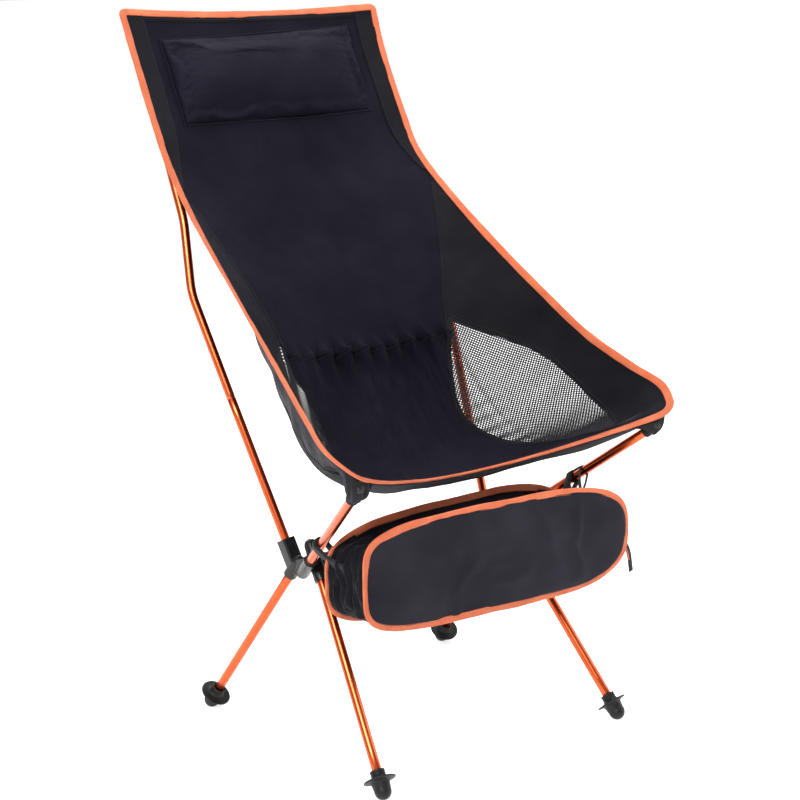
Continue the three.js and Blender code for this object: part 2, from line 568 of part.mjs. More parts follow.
function bag() {
  const group = new THREE.Group();
  chair.add(group);
  for (const [name, face] of [['front', BAG_FRONT], ['rear', BAG_REAR]]) {
    const inset = PIPING_RADIUS + GAP;
    const shrunk = { ...face, half: face.half.map((value) => value - inset) };
    add(`bag_${name}_panel`, sheet(BAG_COLUMNS, 2, (a, b, c) => {
      // Columns run left to right, rows from the lower outline to the upper one.
      const angle = Math.PI * (1 - a);
      const low = bagPoint(shrunk, -angle, 1);
      const high = bagPoint(shrunk, angle, 1);
      return low.lerp(high, 0.02 + 0.96 * b).add(new THREE.Vector3(0, (c - 0.5) * BAG_CLOTH, 0));
    }), 'bagCloth', group);
    add(`bag_${name}_piping`, loop(PIPING_STEPS, 6, (share, angle) => {
      const turn = share * 2 * Math.PI;
      const here = bagPoint(face, turn, 1);
      const step = 0.01;
      const along = bagPoint(face, turn + step, 1).sub(bagPoint(face, turn - step, 1)).normalize();
      const normal = new THREE.Vector3(0, 1, 0);
      const across = along.cross(normal).normalize();
      return here.addScaledVector(across, PIPING_RADIUS * Math.cos(angle))
        .addScaledVector(normal, PIPING_RADIUS * Math.sin(angle));
    }), 'binding', group);
  }

  // Gusset: from one end of the mouth, round the bottom, to the other end.
  const from = THREE.MathUtils.degToRad(180 - GUSSET_FROM);
  const sweep = THREE.MathUtils.degToRad(180 + 2 * GUSSET_FROM);
  add('bag_gusset', sheet(GUSSET_COLUMNS, 2, (a, b, c) => {
    const angle = from + sweep * a;
    const size = 1 - (c * BAG_CLOTH) / BAG_FRONT.half[1];
    const front = bagPoint(BAG_FRONT, angle, size);
    const rear = bagPoint(BAG_REAR, angle, size);
    return front.lerp(rear, 0.06 + 0.88 * b);
  }), 'bagCloth', group);

  // Straps: a loop round each seat pole and a tail down towards the bag.
  for (const [tag, side] of SIDES) {
    const axis = axisOf(SEAT_POLE.hub, SEAT_POLE.tip, side);
    const tail = new THREE.BoxGeometry(STRAP.outer - STRAP.inner, STRAP.tail, STRAP.width);
    tail.translate(-side * (STRAP.outer + STRAP.inner) / 2, -STRAP.tail / 2, STRAP.width / 2);
    const ring = toSolid(tube(STRAP.outer, STRAP.inner, STRAP.width, ROUND));
    const mesh = add(`bag_strap_${tag}`, fromSolid(ring.add(toSolid(tail))), 'cloth', group);
    const x = new THREE.Vector3(0, 0, 1).cross(axis.direction).normalize();
    const y = axis.direction.clone().cross(x);
    mesh.quaternion.setFromRotationMatrix(new THREE.Matrix4().makeBasis(x, y, axis.direction));
    mesh.position.copy(pointOn(axis, side < 0 ? STRAP.left : STRAP.right));
  }

  const tab = add('bag_pull_tab', new THREE.BoxGeometry(...PULL_TAB.size), 'cloth', group);
  tab.position.set(...PULL_TAB.at);
}

frame();
sling();
bag();

const box = new THREE.Box3().setFromObject(chair, true);
chair.position.y = -(box.min.y + box.max.y) / 2;

export default chair;
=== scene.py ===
"""Looks of an ultralight high-back camp chair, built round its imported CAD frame.

Metres, +Z up, -Y the chair's front, +X its right-hand side seen from the front.
"""
import json
import math

import bpy
import numpy as np
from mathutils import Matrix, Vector, noise

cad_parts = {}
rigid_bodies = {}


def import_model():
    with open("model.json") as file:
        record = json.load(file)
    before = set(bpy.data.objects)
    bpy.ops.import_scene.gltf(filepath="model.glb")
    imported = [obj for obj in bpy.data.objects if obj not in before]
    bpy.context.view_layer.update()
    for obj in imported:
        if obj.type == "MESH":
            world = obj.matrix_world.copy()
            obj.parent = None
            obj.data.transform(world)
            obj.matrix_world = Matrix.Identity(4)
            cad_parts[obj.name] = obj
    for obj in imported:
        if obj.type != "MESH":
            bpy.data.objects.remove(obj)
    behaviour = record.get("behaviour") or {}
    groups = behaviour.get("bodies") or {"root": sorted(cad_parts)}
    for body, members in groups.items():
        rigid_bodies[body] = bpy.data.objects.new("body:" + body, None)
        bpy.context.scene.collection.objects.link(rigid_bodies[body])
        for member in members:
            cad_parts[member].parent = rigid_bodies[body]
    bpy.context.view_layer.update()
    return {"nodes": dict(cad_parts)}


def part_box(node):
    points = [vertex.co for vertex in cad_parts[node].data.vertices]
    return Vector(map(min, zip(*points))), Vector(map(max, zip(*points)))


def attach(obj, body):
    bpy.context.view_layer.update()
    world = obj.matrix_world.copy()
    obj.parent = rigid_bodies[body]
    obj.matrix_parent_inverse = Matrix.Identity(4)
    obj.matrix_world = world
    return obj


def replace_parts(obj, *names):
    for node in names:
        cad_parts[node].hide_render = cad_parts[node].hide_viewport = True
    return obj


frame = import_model()
NODES = frame["nodes"]
SIDES = (("L", -1), ("R", 1))

# ------------------------------------------------------------------ driving dimensions

# Design sizes are given from a point on the ground midway between the four feet, as the CAD gives them.
CROSS_TUBE_Y = 0.022
SHIFT = np.array([0, sum(corner.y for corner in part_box("cross_tube")) / 2 - CROSS_TUBE_Y, 0])

LEG_TUBE = (0.0065, 0.0056)  # outer and inner radius
BACK_TUBE = (0.00625, 0.00535)
SEAT_POLE = ((0.181, 0.010, 0.250), (0.257, -0.212, 0.426))
BACK_POLE = (
    (0.2039, 0.1485, 0.465), (0.222, 0.215, 0.604), (0.2115, 0.247, 0.701), (0.198, 0.396, 0.970),
)
BEND_LENGTH = 0.016
PIPE_SIDES = 28

# The sling's surface: right rim x, y, z, middle y, z, power of the section and bulge of its wall, from the
# top edge to the front edge.
STATIONS = np.array([
    (0.222, 0.381, 0.982, 0.392, 0.974, 2.0, 0.00),
    (0.219, 0.350, 0.912, 0.363, 0.908, 2.0, 0.00),
    (0.219, 0.300, 0.821, 0.318, 0.815, 2.0, 0.00),
    (0.220, 0.262, 0.765, 0.285, 0.750, 2.0, 0.00),
    (0.229, 0.186, 0.701, 0.228, 0.668, 2.2, 0.03),
    (0.239, 0.097, 0.638, 0.172, 0.590, 2.5, 0.08),
    (0.250, 0.012, 0.582, 0.116, 0.508, 2.8, 0.13),
    (0.262, -0.067, 0.532, 0.070, 0.430, 2.9, 0.15),
    (0.279, -0.138, 0.497, 0.010, 0.371, 2.8, 0.14),
    (0.291, -0.191, 0.474, -0.060, 0.357, 2.5, 0.07),
    (0.273, -0.230, 0.447, -0.123, 0.384, 2.0, 0.00),
])
LAST = len(STATIONS) - 1
SIDE_SEAM = (
    (3.2, 1.0), (3.5, 0.968), (4, 0.87), (4.8, 0.715), (5.5, 0.59), (6.2, 0.5), (6.9, 0.415), (7.4, 0.395),
    (7.8, 0.43), (8.3, 0.488), (8.7, 0.56), (9.2, 0.68), (9.5, 0.76), (9.75, 0.96), (10, 0.98),
)
MESH_TOP = (
    (5.75, 0.575), (6, 0.66), (6.35, 0.765), (6.75, 0.838), (7.15, 0.865), (7.7, 0.866), (8.4, 0.845),
    (9.1, 0.815), (9.5, 0.79),
)
MESH_ENDS = (5.75, 9.5)
NET_STEP = 0.00245  # half the width of one of its diamonds
HOLE = 0.445  # radius of a hole as a share of half its diamond's width
NET_THICKNESS = 0.0011
SEAT_SEAM = 5.96
TOP_CORNER = (0.12, 0.05)  # size of the rounded corners, in stations and in share of the half width
FRONT_CORNER = (0.45, 0.09)

CLOTH = 0.0008
STITCH_RADIUS = 0.00032
GRID = 0.004  # spacing of a panel's points
TAPE_OUT = 0.0050  # how far the edge tape stands out of the rim line, and how far it laps the cloth
TAPE_IN = 0.0057
TAPE_HALF = 0.0019
STRIP_INNER = 0.845  # reinforcement strips up the back, from this share of the half width to the tape
STRIP_END_INNER = 0.955
STRIP_ENDS = (0.03, 3.35)
STRIP_TAPER = 1.9  # station below which a strip narrows
HEM_END = 0.23
STRIP_LIFT = 0.0011  # from the cloth's middle to the middle of a strip sewn on it

# Where each front corner pocket is sewn to the sling's underside, and how far it reaches down the pole.
CORNER_LOOP = ((9.2, 0.89), (9.5, 0.982), (9.78, 0.975), (9.93, 0.925), (9.96, 0.79), (9.6, 0.775))
POCKET_REACH = {"L": 0.034, "R": 0.019}
POCKET_ROUND = {"L": 0.0180, "R": 0.0160}  # radius it is drawn towards round the pole's tip

SLEEVE_EDGES = (0.79, 0.965)  # shares of the half width where the top sleeves are sewn
SLEEVE_CLOSING = (0.92, 0.78, 0.58, 0.36, 0.16)  # how far they stand off the back, past the pole's end

PILLOW = ((0.62, -0.765), (0.45, 0.755), (1.86, 0.755), (1.91, -0.755))  # corners as (station, share)
PILLOW_LIFT = 0.0030  # its seam's height over the back
PILLOW_RISE = 0.03848
PILLOW_FLAT = (0.335, 0.15)

# Each panel's outline is a superellipse: centre, half sizes, roundness of its two ends, lean and turn.
BAG_FRONT = {
    "centre": (0.003, -0.183, 0.281), "half": (0.2185, 0.0725), "round": (0.44, 0.62),
    "lean": 0.03, "turn": -0.062,
}
BAG_REAR = {
    "centre": (-0.005, -0.086, 0.267), "half": (0.216, 0.069), "round": (0.58, 0.64),
    "lean": 0.05, "turn": 0.04,
}
BAG_CLOTH = 0.0007
BAG_TAPE_HALF = 0.0051
SLANT = np.array([(1, 0, 0.8), (0, 1, 0), (-0.5, 0, 1.4)])  # stretches the panels' creases along a diagonal
MOUTH = math.radians(48)  # the gusset stops this far above the level line at either end of the mouth
GUSSET_GRID = (60, 340)  # points across it and round it
# Loops that carry the bag: side, distance up the seat pole, width, thickness, and where they are sewn, as an
# angle round the bag's outline and a share of the way from the rear panel to the front one.
STRAPS = {
    "bag_strap_L_web": ("L", 0.0935, 0.0095, 0.0042, 176, 0.50),
    "bag_strap_R_web": ("R", 0.1370, 0.0095, 0.0032, 30, 0.25),
    "bag_tie_R": ("R", 0.1580, 0.0035, 0.0014, 38, 0.55),
}
PULL_TAB = (
    (0.2175, -0.182, 0.272), (0.227, -0.187, 0.258), (0.2345, -0.190, 0.241), (0.2405, -0.190, 0.2125),
)
TAB_FACES = (1, 0.2, 0.3)

CAMERA = {"place": (-1.58111, -1.96598, 1.05901), "down": 13.346, "round": 38.3575, "lens": 84.41}
LIGHTS = {  # place, size, power, colour
    "key": ((-2.3, -1.5, 2.3), (1.7, 1.4), 112, (1, 0.985, 0.96)),
    "top": ((0.5, 0.3, 3.1), (2.6, 2.6), 78, (1, 1, 1)),
    "fill": ((2.4, -1.4, 1.3), (1.2, 1.6), 24, (0.95, 0.975, 1)),
    "rim": ((0.7, 2.7, 1.9), (2.4, 1.2), 34, (1, 1, 1)),
}
LIT_POINT = (0, 0, 0.45)
WORLD_LIGHT = 0.46
FLOOR_REACH = 40
FLOOR_GLOW = 0.63


# Colours are linear. Cloths: darker and lighter shade, pitch of the weave, roughness and sheen.
FUZZ = (0.62, 0.60, 0.85)
CLOTHS = (
    ("sling_cloth", (0.0030, 0.0023, 0.0062), (0.0072, 0.0062, 0.0125), 0.0009, 0.60, 0.025),
    ("strip_cloth", (0.0046, 0.0045, 0.0064), (0.0094, 0.0092, 0.0124), 0.0009, 0.62, 0.05),
    ("wall_cloth", (0.0042, 0.0041, 0.0060), (0.0092, 0.0090, 0.0118), 0.0009, 0.55, 0.05),
    ("valance_cloth", (0.024, 0.024, 0.026), (0.040, 0.040, 0.043), 0.0009, 0.7, 0.1),
    ("pocket_cloth", (0.0105, 0.0110, 0.0120), (0.0200, 0.0210, 0.0225), 0.0009, 0.66, 0.08),
    ("pillow_cloth", (0.0030, 0.0023, 0.0062), (0.0082, 0.0070, 0.0145), 0.0009, 0.5, 0.04),
    ("bag_cloth", (0.0090, 0.0085, 0.0130), (0.0190, 0.0180, 0.0250), 0.0008, 0.58, 0.06),
    ("bag_gusset_cloth", (0.0036, 0.0035, 0.0055), (0.0085, 0.0084, 0.0110), 0.0008, 0.36, 0.03),
)
CORDS = (  # colour, flecks, and the yarns' pitch across and along
    ("tape_thread", (0.80, 0.19, 0.08), (0.95, 0.33, 0.17), 0.0006, 0.0009),
    ("sewing_thread", (0.008, 0.008, 0.012), (0.020, 0.020, 0.027), 0.0006, 0.0009),
    ("net_yarn", (0.0042, 0.0042, 0.0055), (0.0100, 0.0100, 0.0125), 0.0008, 0.0008),
    ("strap_webbing", (0.0065, 0.0065, 0.0080), (0.018, 0.018, 0.021), 0.0016, 0.0024),
    ("shock_cord", (0.014, 0.014, 0.017), (0.07, 0.07, 0.08), 0.0012, 0.0018),
)
MOULDINGS = (  # colour, paler edges, roughness, grain and lacquer
    ("hub_plastic", (0.0060, 0.0060, 0.0066), (0.022, 0.0225, 0.024), 0.24, 1500, 0.12),
    ("foot_rubber", (0.0048, 0.0048, 0.0052), (0.017, 0.017, 0.0175), 0.42, 900, 0),
    ("cap_plastic", (0.0070, 0.0070, 0.0076), (0.025, 0.025, 0.027), 0.42, 1200, 0),
)


# ------------------------------------------------------------------ camera, light and floor

def set_stage():
    scene = bpy.context.scene
    scene.view_settings.view_transform = "Standard"
    data = bpy.data.cameras.new("camera")
    data.lens = CAMERA["lens"]
    data.sensor_width = 36
    camera = bpy.data.objects.new("camera", data)
    camera.location = Vector(CAMERA["place"]) + Vector(SHIFT)
    camera.rotation_euler = (math.radians(90 - CAMERA["down"]), 0, -math.radians(CAMERA["round"]))
    scene.collection.objects.link(camera)
    scene.camera = camera

    world = bpy.data.worlds.new("studio")
    scene.world = world
    world.use_nodes = True
    background = world.node_tree.nodes["Background"]
    background.inputs["Color"].default_value = (1, 1, 1, 1)
    background.inputs["Strength"].default_value = WORLD_LIGHT

    for name, settings in LIGHTS.items():
        softbox(name, *settings)

    mesh = bpy.data.meshes.new("floor")
    corners = [(x * FLOOR_REACH, y * FLOOR_REACH, 0) for x, y in ((-1, -1), (1, -1), (1, 1), (-1, 1))]
    mesh.from_pydata(corners, [], [(0, 1, 2, 3)])
    floor = bpy.data.objects.new("floor", mesh)
    scene.collection.objects.link(floor)
    look = Look("studio_floor")
    look.set(base=(0.84, 0.84, 0.842), roughness=0.9, specular=0.05)
    look.shader.inputs["Emission Color"].default_value = (1, 1, 1, 1)
    look.shader.inputs["Emission Strength"].default_value = FLOOR_GLOW
    mesh.materials.append(look.material)


def softbox(name, place, size, power, colour):
    data = bpy.data.lights.new(name, "AREA")
    data.shape = "RECTANGLE"
    data.size, data.size_y = size
    data.energy = power
    data.color = colour
    lamp = bpy.data.objects.new(name, data)
    lamp.location = place
    lamp.rotation_euler = (Vector(LIT_POINT) - Vector(place)).to_track_quat("-Z", "Y").to_euler()
    bpy.context.scene.collection.objects.link(lamp)


# ------------------------------------------------------------------ materials

class Look:
    """A procedural material: one Principled shader and short helpers to wire nodes into it."""

    def __init__(self, name):
        self.material = bpy.data.materials.new(name)
        self.material.use_nodes = True
        self.tree = self.material.node_tree
        self.shader = self.tree.nodes["Principled BSDF"]

    def set(self, base=None, roughness=None, metallic=None, specular=None, sheen=None, sheen_roughness=None,
            sheen_tint=None, coat=None, coat_roughness=None):
        """Values that are the same all over the surface, set on the shader's own sockets."""
        sockets = {
            "Roughness": roughness, "Metallic": metallic, "Specular IOR Level": specular,
            "Sheen Weight": sheen, "Sheen Roughness": sheen_roughness, "Coat Weight": coat,
            "Coat Roughness": coat_roughness,
            "Base Color": None if base is None else (*base, 1),
            "Sheen Tint": None if sheen_tint is None else (*sheen_tint, 1),
        }
        for socket, value in sockets.items():
            if value is not None:
                self.shader.inputs[socket].default_value = value

    def node(self, kind, settings=None, **inputs):
        node = self.tree.nodes.new(kind)
        for key, value in (settings or {}).items():
            setattr(node, key, value)
        for key, value in inputs.items():
            socket = node.inputs[int(key[1:])] if key[0] == "i" and key[1:].isdigit() else node.inputs[key]
            if isinstance(value, bpy.types.NodeSocket):
                self.tree.links.new(value, socket)
            else:
                socket.default_value = value
        return node

    def math(self, operation, a, b=0.0):
        return self.node("ShaderNodeMath", {"operation": operation}, i0=a, i1=b).outputs[0]

    def uv(self):
        """The two UV coordinates, in metres on every piece made here."""
        split = self.node("ShaderNodeSeparateXYZ", i0=self.node("ShaderNodeUVMap").outputs[0])
        return split.outputs[0], split.outputs[1]

    def place(self):
        return self.node("ShaderNodeTexCoord").outputs["Object"]

    def noise(self, scale, detail=3.0, roughness=0.55, vector=None, stretch=None):
        vector = vector or self.place()
        if stretch:
            vector = self.node("ShaderNodeMapping", Vector=vector, Scale=stretch).outputs[0]
        return self.node("ShaderNodeTexNoise", Vector=vector, Scale=scale, Detail=detail,
                         Roughness=roughness).outputs[0]

    def span(self, value, low, high, start=0.35, end=0.65):
        """Maps a value's start..end onto low..high, clamped."""
        return self.node("ShaderNodeMapRange", i0=value, i1=start, i2=end, i3=low, i4=high).outputs[0]

    def mix(self, share, a, b):
        node = self.node("ShaderNodeMix", {"data_type": "RGBA"}, i0=share)
        for index, colour in ((6, a), (7, b)):
            if isinstance(colour, bpy.types.NodeSocket):
                self.tree.links.new(colour, node.inputs[index])
            else:
                node.inputs[index].default_value = (*colour, 1)
        return node.outputs[2]

    def wire(self, socket, value):
        self.tree.links.new(value, self.shader.inputs[socket])

    def bump(self, height, distance, strength=1.0, under=None):
        inputs = {"Height": height, "Distance": distance, "Strength": strength}
        if under:
            inputs["Normal"] = under
        return self.node("ShaderNodeBump", **inputs).outputs[0]

    def waves(self, value, pitch):
        return self.math("SINE", self.math("MULTIPLY", value, 2 * math.pi / pitch))


def woven(name, dark, light, pitch, roughness, sheen):
    """Plain-woven cloth: crossed threads, faint slubs, soft shade changes and a little fuzz."""
    look = Look(name)
    look.set(specular=0.055, sheen=sheen, sheen_roughness=0.42, sheen_tint=FUZZ)
    x, y = look.uv()
    weave = look.math("MULTIPLY", look.waves(x, pitch), look.waves(y, pitch))
    slubs = look.noise(420, 2, stretch=(1, 0.12, 0.12))
    cloudy = look.noise(9, 4)
    thread = look.span(weave, 0, 0.35, -1, 1)
    share = look.math("ADD", look.math("MULTIPLY", look.span(cloudy, 0, 1), 0.65), thread)
    look.wire("Base Color", look.mix(share, dark, light))
    look.wire("Roughness", look.span(look.noise(26, 3), roughness - 0.07, roughness + 0.07))
    coarse = look.bump(look.noise(60, 5, 0.62), 0.0007, 0.35)
    fine = look.bump(look.math("ADD", weave, look.math("MULTIPLY", slubs, 0.7)), 0.00012, 0.7, coarse)
    look.wire("Normal", fine)
    return look.material


def taped(name, dark, light):
    """Ribbed polyester tape: ribs across its length, woven edges, blotchy tone, and painted shade in the
    hollows between ribs.
    """
    look = Look(name)
    look.set(specular=0.2, sheen=0.15, sheen_roughness=0.5, sheen_tint=(1, 0.72, 0.55))
    x, y = look.uv()
    ribs = look.waves(y, 0.00095)
    threads = look.waves(x, 0.0007)
    worn = look.span(look.noise(34, 4), 0, 1)
    # colour: random blotchy tone, plus painted shade that darkens the rib hollows and lightens their crests
    share = look.math("ADD", look.math("MULTIPLY", worn, 0.7), look.math("MULTIPLY", ribs, 0.16))
    look.wire("Base Color", look.mix(share, dark, light))
    look.wire("Roughness", look.span(look.noise(70), 0.62, 0.8))
    relief = look.math("ADD", ribs, look.math("MULTIPLY", threads, 0.4))
    look.wire("Normal", look.bump(relief, 0.00016, 0.8, look.bump(look.noise(110, 3), 0.0005, 0.3)))
    return look.material


def anodised():
    """Dyed aluminium tube: drawn lines along it, faint handling marks."""
    look = Look("anodised_tube")
    look.set(metallic=1.0, coat=0.25, coat_roughness=0.12)
    x, y = look.uv()
    lines = look.node("ShaderNodeCombineXYZ", i0=look.math("MULTIPLY", x, 900),
                      i1=look.math("MULTIPLY", y, 9))
    drawn = look.noise(1, 3, 0.6, vector=lines.outputs[0])
    marks = look.noise(55, 5, 0.7)
    shade = look.span(marks, 0, 1, 0.3, 0.75)
    look.wire("Base Color", look.mix(shade, (0.68, 0.118, 0.034), (0.54, 0.075, 0.017)))
    worn = look.span(marks, 0, 0.10, 0.55, 0.75)
    look.wire("Roughness", look.math("ADD", look.span(drawn, 0.22, 0.33), worn))
    look.wire("Normal", look.bump(drawn, 0.00006, 0.5))
    return look.material


def bare_alloy():
    look = Look("bare_alloy")
    look.set(metallic=1.0)
    shade = look.span(look.noise(80, 4), 0, 1)
    look.wire("Base Color", look.mix(shade, (0.62, 0.63, 0.65), (0.74, 0.75, 0.77)))
    look.wire("Roughness", look.span(look.noise(240, 2, stretch=(1, 1, 0.05)), 0.28, 0.42))
    return look.material


def moulded(name, dark, light, roughness, grain, coat):
    """Moulded plastic or rubber: a fine grain, paler rubbed edges and a little dust."""
    look = Look(name)
    look.set(specular=0.26, coat=coat, coat_roughness=0.2)
    edges = look.span(look.node("ShaderNodeNewGeometry").outputs["Pointiness"], 0, 1, 0.5, 0.62)
    blotch = look.span(look.noise(60, 5, 0.65), 0, 1, 0.4, 0.7)
    share = look.math("MAXIMUM", look.math("MULTIPLY", edges, 0.6), look.math("MULTIPLY", blotch, 0.35))
    look.wire("Base Color", look.mix(share, dark, light))
    look.wire("Roughness", look.span(look.noise(130, 4), roughness - 0.06, roughness + 0.1))
    dents = look.bump(look.noise(90, 3), 0.0006, 0.25)
    look.wire("Normal", look.bump(look.noise(grain, 2), 0.00012, 0.5, dents))
    return look.material


def braided(name, colour, fleck, across, along):
    """Cord, thread or webbing: two sets of yarns that cross on the slant."""
    look = Look(name)
    look.set(specular=0.18, sheen=0.06, sheen_roughness=0.5, sheen_tint=(0.8, 0.82, 0.9))
    x, y = look.uv()
    a, b = look.math("DIVIDE", x, across), look.math("DIVIDE", y, along)
    one = look.waves(look.math("ADD", a, b), 1.0)
    two = look.waves(look.math("SUBTRACT", a, b), 1.0)
    yarns = look.math("MULTIPLY", one, two)
    share = look.math("ADD", look.span(yarns, 0, 0.55, -1, 1), look.span(look.noise(160, 3), 0, 0.4))
    look.wire("Base Color", look.mix(share, colour, fleck))
    look.wire("Roughness", look.span(look.noise(90), 0.62, 0.8))
    look.wire("Normal", look.bump(yarns, 0.0002, 0.8))
    return look.material


# ------------------------------------------------------------------ mesh helpers

def unit(v):
    v = np.asarray(v, float)
    return v / np.maximum(np.linalg.norm(v, axis=-1, keepdims=True), 1e-12)


def arc(points):
    """Length along a run of points, from 0 at its first."""
    steps = np.linalg.norm(np.diff(points, axis=0), axis=-1)
    return np.concatenate([[0], np.cumsum(steps)])


def along(points, distances):
    """Points at these distances along a run of points; several columns of numbers are carried together."""
    length = arc(points[:, :3])
    return np.stack([np.interp(distances, length, points[:, k]) for k in range(points.shape[1])], -1)


def catmull_rom(a, b, c, d, t):
    """The curve from b to c, with a before them and d after them, at shares t of the way."""
    curved = (2 * a - 5 * b + 4 * c - d) * t ** 2 + (3 * b - a - 3 * c + d) * t ** 3
    return 0.5 * (2 * b + (c - a) * t + curved)


def smooth_line(points, count):
    """A Catmull-Rom curve through a few points, as evenly spaced ones."""
    p = np.asarray(points, float)
    p = np.vstack([2 * p[0] - p[1], p, 2 * p[-1] - p[-2]])
    t = np.linspace(0, 1, 16, endpoint=False)[:, None]
    parts = [catmull_rom(*four, t) for four in zip(p, p[1:], p[2:], p[3:])]
    curve = np.vstack([*parts, p[-2][None]])
    return along(curve, np.linspace(0, arc(curve[:, :3])[-1], count))


def carried(points):
    """Two directions across a run of points that turn with it and don't twist."""
    tangent = unit(np.gradient(points, axis=0))
    side = unit(np.cross(tangent[0], (0, 0, 1) if abs(tangent[0][2]) < 0.95 else (0, 1, 0)))
    sides = []
    for t in tangent:
        side = unit(side - t * (side @ t))
        sides.append(side)
    sides = np.array(sides)
    return sides, np.cross(tangent, sides)


def thicken(thing, thickness):
    shell = thing.modifiers.new("thickness", "SOLIDIFY")
    shell.thickness = thickness
    shell.offset = 0


def piece(name, vertices, faces, look, body, uv, thickness=0.0):
    """A piece of the chair from points, faces as lists, and a UV for each corner of each face in turn."""
    mesh = bpy.data.meshes.new(name)
    mesh.from_pydata(vertices.tolist(), [], faces)
    mesh.uv_layers.new(name="UVMap").data.foreach_set("uv", np.asarray(uv, np.float32).ravel())
    mesh.shade_smooth()
    mesh.materials.append(look)
    thing = bpy.data.objects.new(name, mesh)
    bpy.context.scene.collection.objects.link(thing)
    if thickness:
        thicken(thing, thickness)
    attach(thing, body)
    return thing


def surface(name, grid, look, body, thickness=0.0, wrap_rows=False, wrap_columns=False, caps=False):
    """A piece from a grid of points, rows by columns; its UVs are lengths in metres along both."""
    grid = np.asarray(grid, float)
    rows, columns = grid.shape[:2]
    wide = np.concatenate([grid, grid[:, :1]], 1) if wrap_columns else grid
    full = np.concatenate([wide, wide[:1]], 0) if wrap_rows else wide
    across = np.cumsum(np.linalg.norm(np.diff(full, axis=1, prepend=full[:, :1]), axis=-1), axis=1)
    across -= across[:, full.shape[1] // 2][:, None]
    down = np.cumsum(np.linalg.norm(np.diff(full, axis=0, prepend=full[:1]), axis=-1), axis=0)
    number = np.arange(rows * columns).reshape(rows, columns)
    number = np.pad(number, ((0, int(wrap_rows)), (0, int(wrap_columns))), "wrap")
    corners = [(slice(None, -1), slice(None, -1)), (slice(None, -1), slice(1, None)),
               (slice(1, None), slice(1, None)), (slice(1, None), slice(None, -1))]
    faces = np.stack([number[c] for c in corners], -1).reshape(-1, 4)
    uv = np.stack([np.stack([across[c], down[c]], -1) for c in corners], -2).reshape(-1, 2)
    faces, uv = faces.tolist(), uv.tolist()
    if caps:
        for ring in (number[0, :columns][::-1], number[-1, :columns]):
            faces.append(ring.tolist())
            uv += [(0.0, 0.0)] * columns
    return piece(name, grid.reshape(-1, 3), faces, look, body, uv, thickness)


def cut(grid):
    """Turns a sheet's grid into an array of numbers and does nothing more with it."""
    grid = np.asarray(grid, float)


def circle(radius, sides):
    angle = np.linspace(0, 2 * math.pi, sides, endpoint=False)
    return radius * np.stack([np.cos(angle), np.sin(angle)], -1)


def pipe(name, path, radii, look, body):
    """A hollow tube along a path, with softly broken end edges."""
    outer, inner = radii
    soft = (outer - inner) * 0.35
    length = arc(path)[-1]
    stops = np.unique(np.concatenate([arc(path), [soft, length - soft]]))
    path = along(path, stops)
    side, up = carried(path)
    last = len(path) - 1
    rings = [(0, outer - soft), *[(k, outer) for k in range(1, last)], (last, outer - soft),
             (last, inner + soft), *[(k, inner) for k in range(last - 1, 0, -1)], (0, inner + soft)]
    grid = [path[k] + circle(r, PIPE_SIDES) @ np.stack([side[k], up[k]]) for k, r in rings]
    return surface(name, grid, look, body, wrap_rows=True, wrap_columns=True)


def thread(name, path, out, look, body, slot, pitch=0.0036, length=0.0027):
    """A row of stitches along a path, each a short spindle that dips into the cloth at its ends."""
    total = arc(path)[-1]
    centres = np.arange(pitch / 2, total - pitch / 2, pitch)
    line = along(np.hstack([path, out]), centres)
    ahead = along(path, np.minimum(centres + 0.0005, total)) - along(path, centres - 0.0005)
    t, n = unit(ahead), unit(line[:, 3:])
    b = unit(np.cross(t, n))
    n = np.cross(b, t)
    shape = [(-0.5, 0.35, -1.0), (-0.3, 1, 0), (0.3, 1, 0), (0.5, 0.35, -1.0)]
    sides = 6
    ring = circle(1, sides)
    template = np.array([(a * length, x * r * STITCH_RADIUS, (y * r + z + 0.4) * STITCH_RADIUS)
                         for a, r, z in shape for x, y in ring])
    vertices = (line[:, None, :3] + template[None, :, :1] * t[:, None] + template[None, :, 1:2] * b[:, None]
                + template[None, :, 2:] * n[:, None])
    one = [(r + k, r + (k + 1) % sides, r + sides + (k + 1) % sides, r + sides + k)
           for r in range(0, (len(shape) - 1) * sides, sides) for k in range(sides)]
    count = len(template)
    quads = (np.array(one)[None] + (np.arange(len(centres)) * count)[:, None, None]).reshape(-1, 4).tolist()
    start = [list(range(sides))[::-1], [count - sides + k for k in range(sides)]]
    ends = [[v + i * count for v in cap] for i in range(len(centres)) for cap in start]
    uv = np.tile([(0, 0), (0.0003, 0), (0.0003, 0.001), (0, 0.001)], (len(quads), 1)).tolist()
    uv += [(0.0, 0.0)] * (sides * len(ends))
    return piece(name, vertices.reshape(-1, 3), quads + ends, look, body, uv)


def crumple(points, size, seed):
    """Smooth noise from -1 to 1 at each point, with features of about this size."""
    flat = np.asarray(points, float).reshape(-1, 3) / size + seed
    return np.array([noise.noise(Vector(p)) for p in flat]).reshape(np.shape(points)[:-1])


def creases(points, size, seed):
    """Noise with sharp ridges, from 0 to 1, as in cloth that has been packed away."""
    return 1 - np.abs(crumple(points, size, seed)) * 2


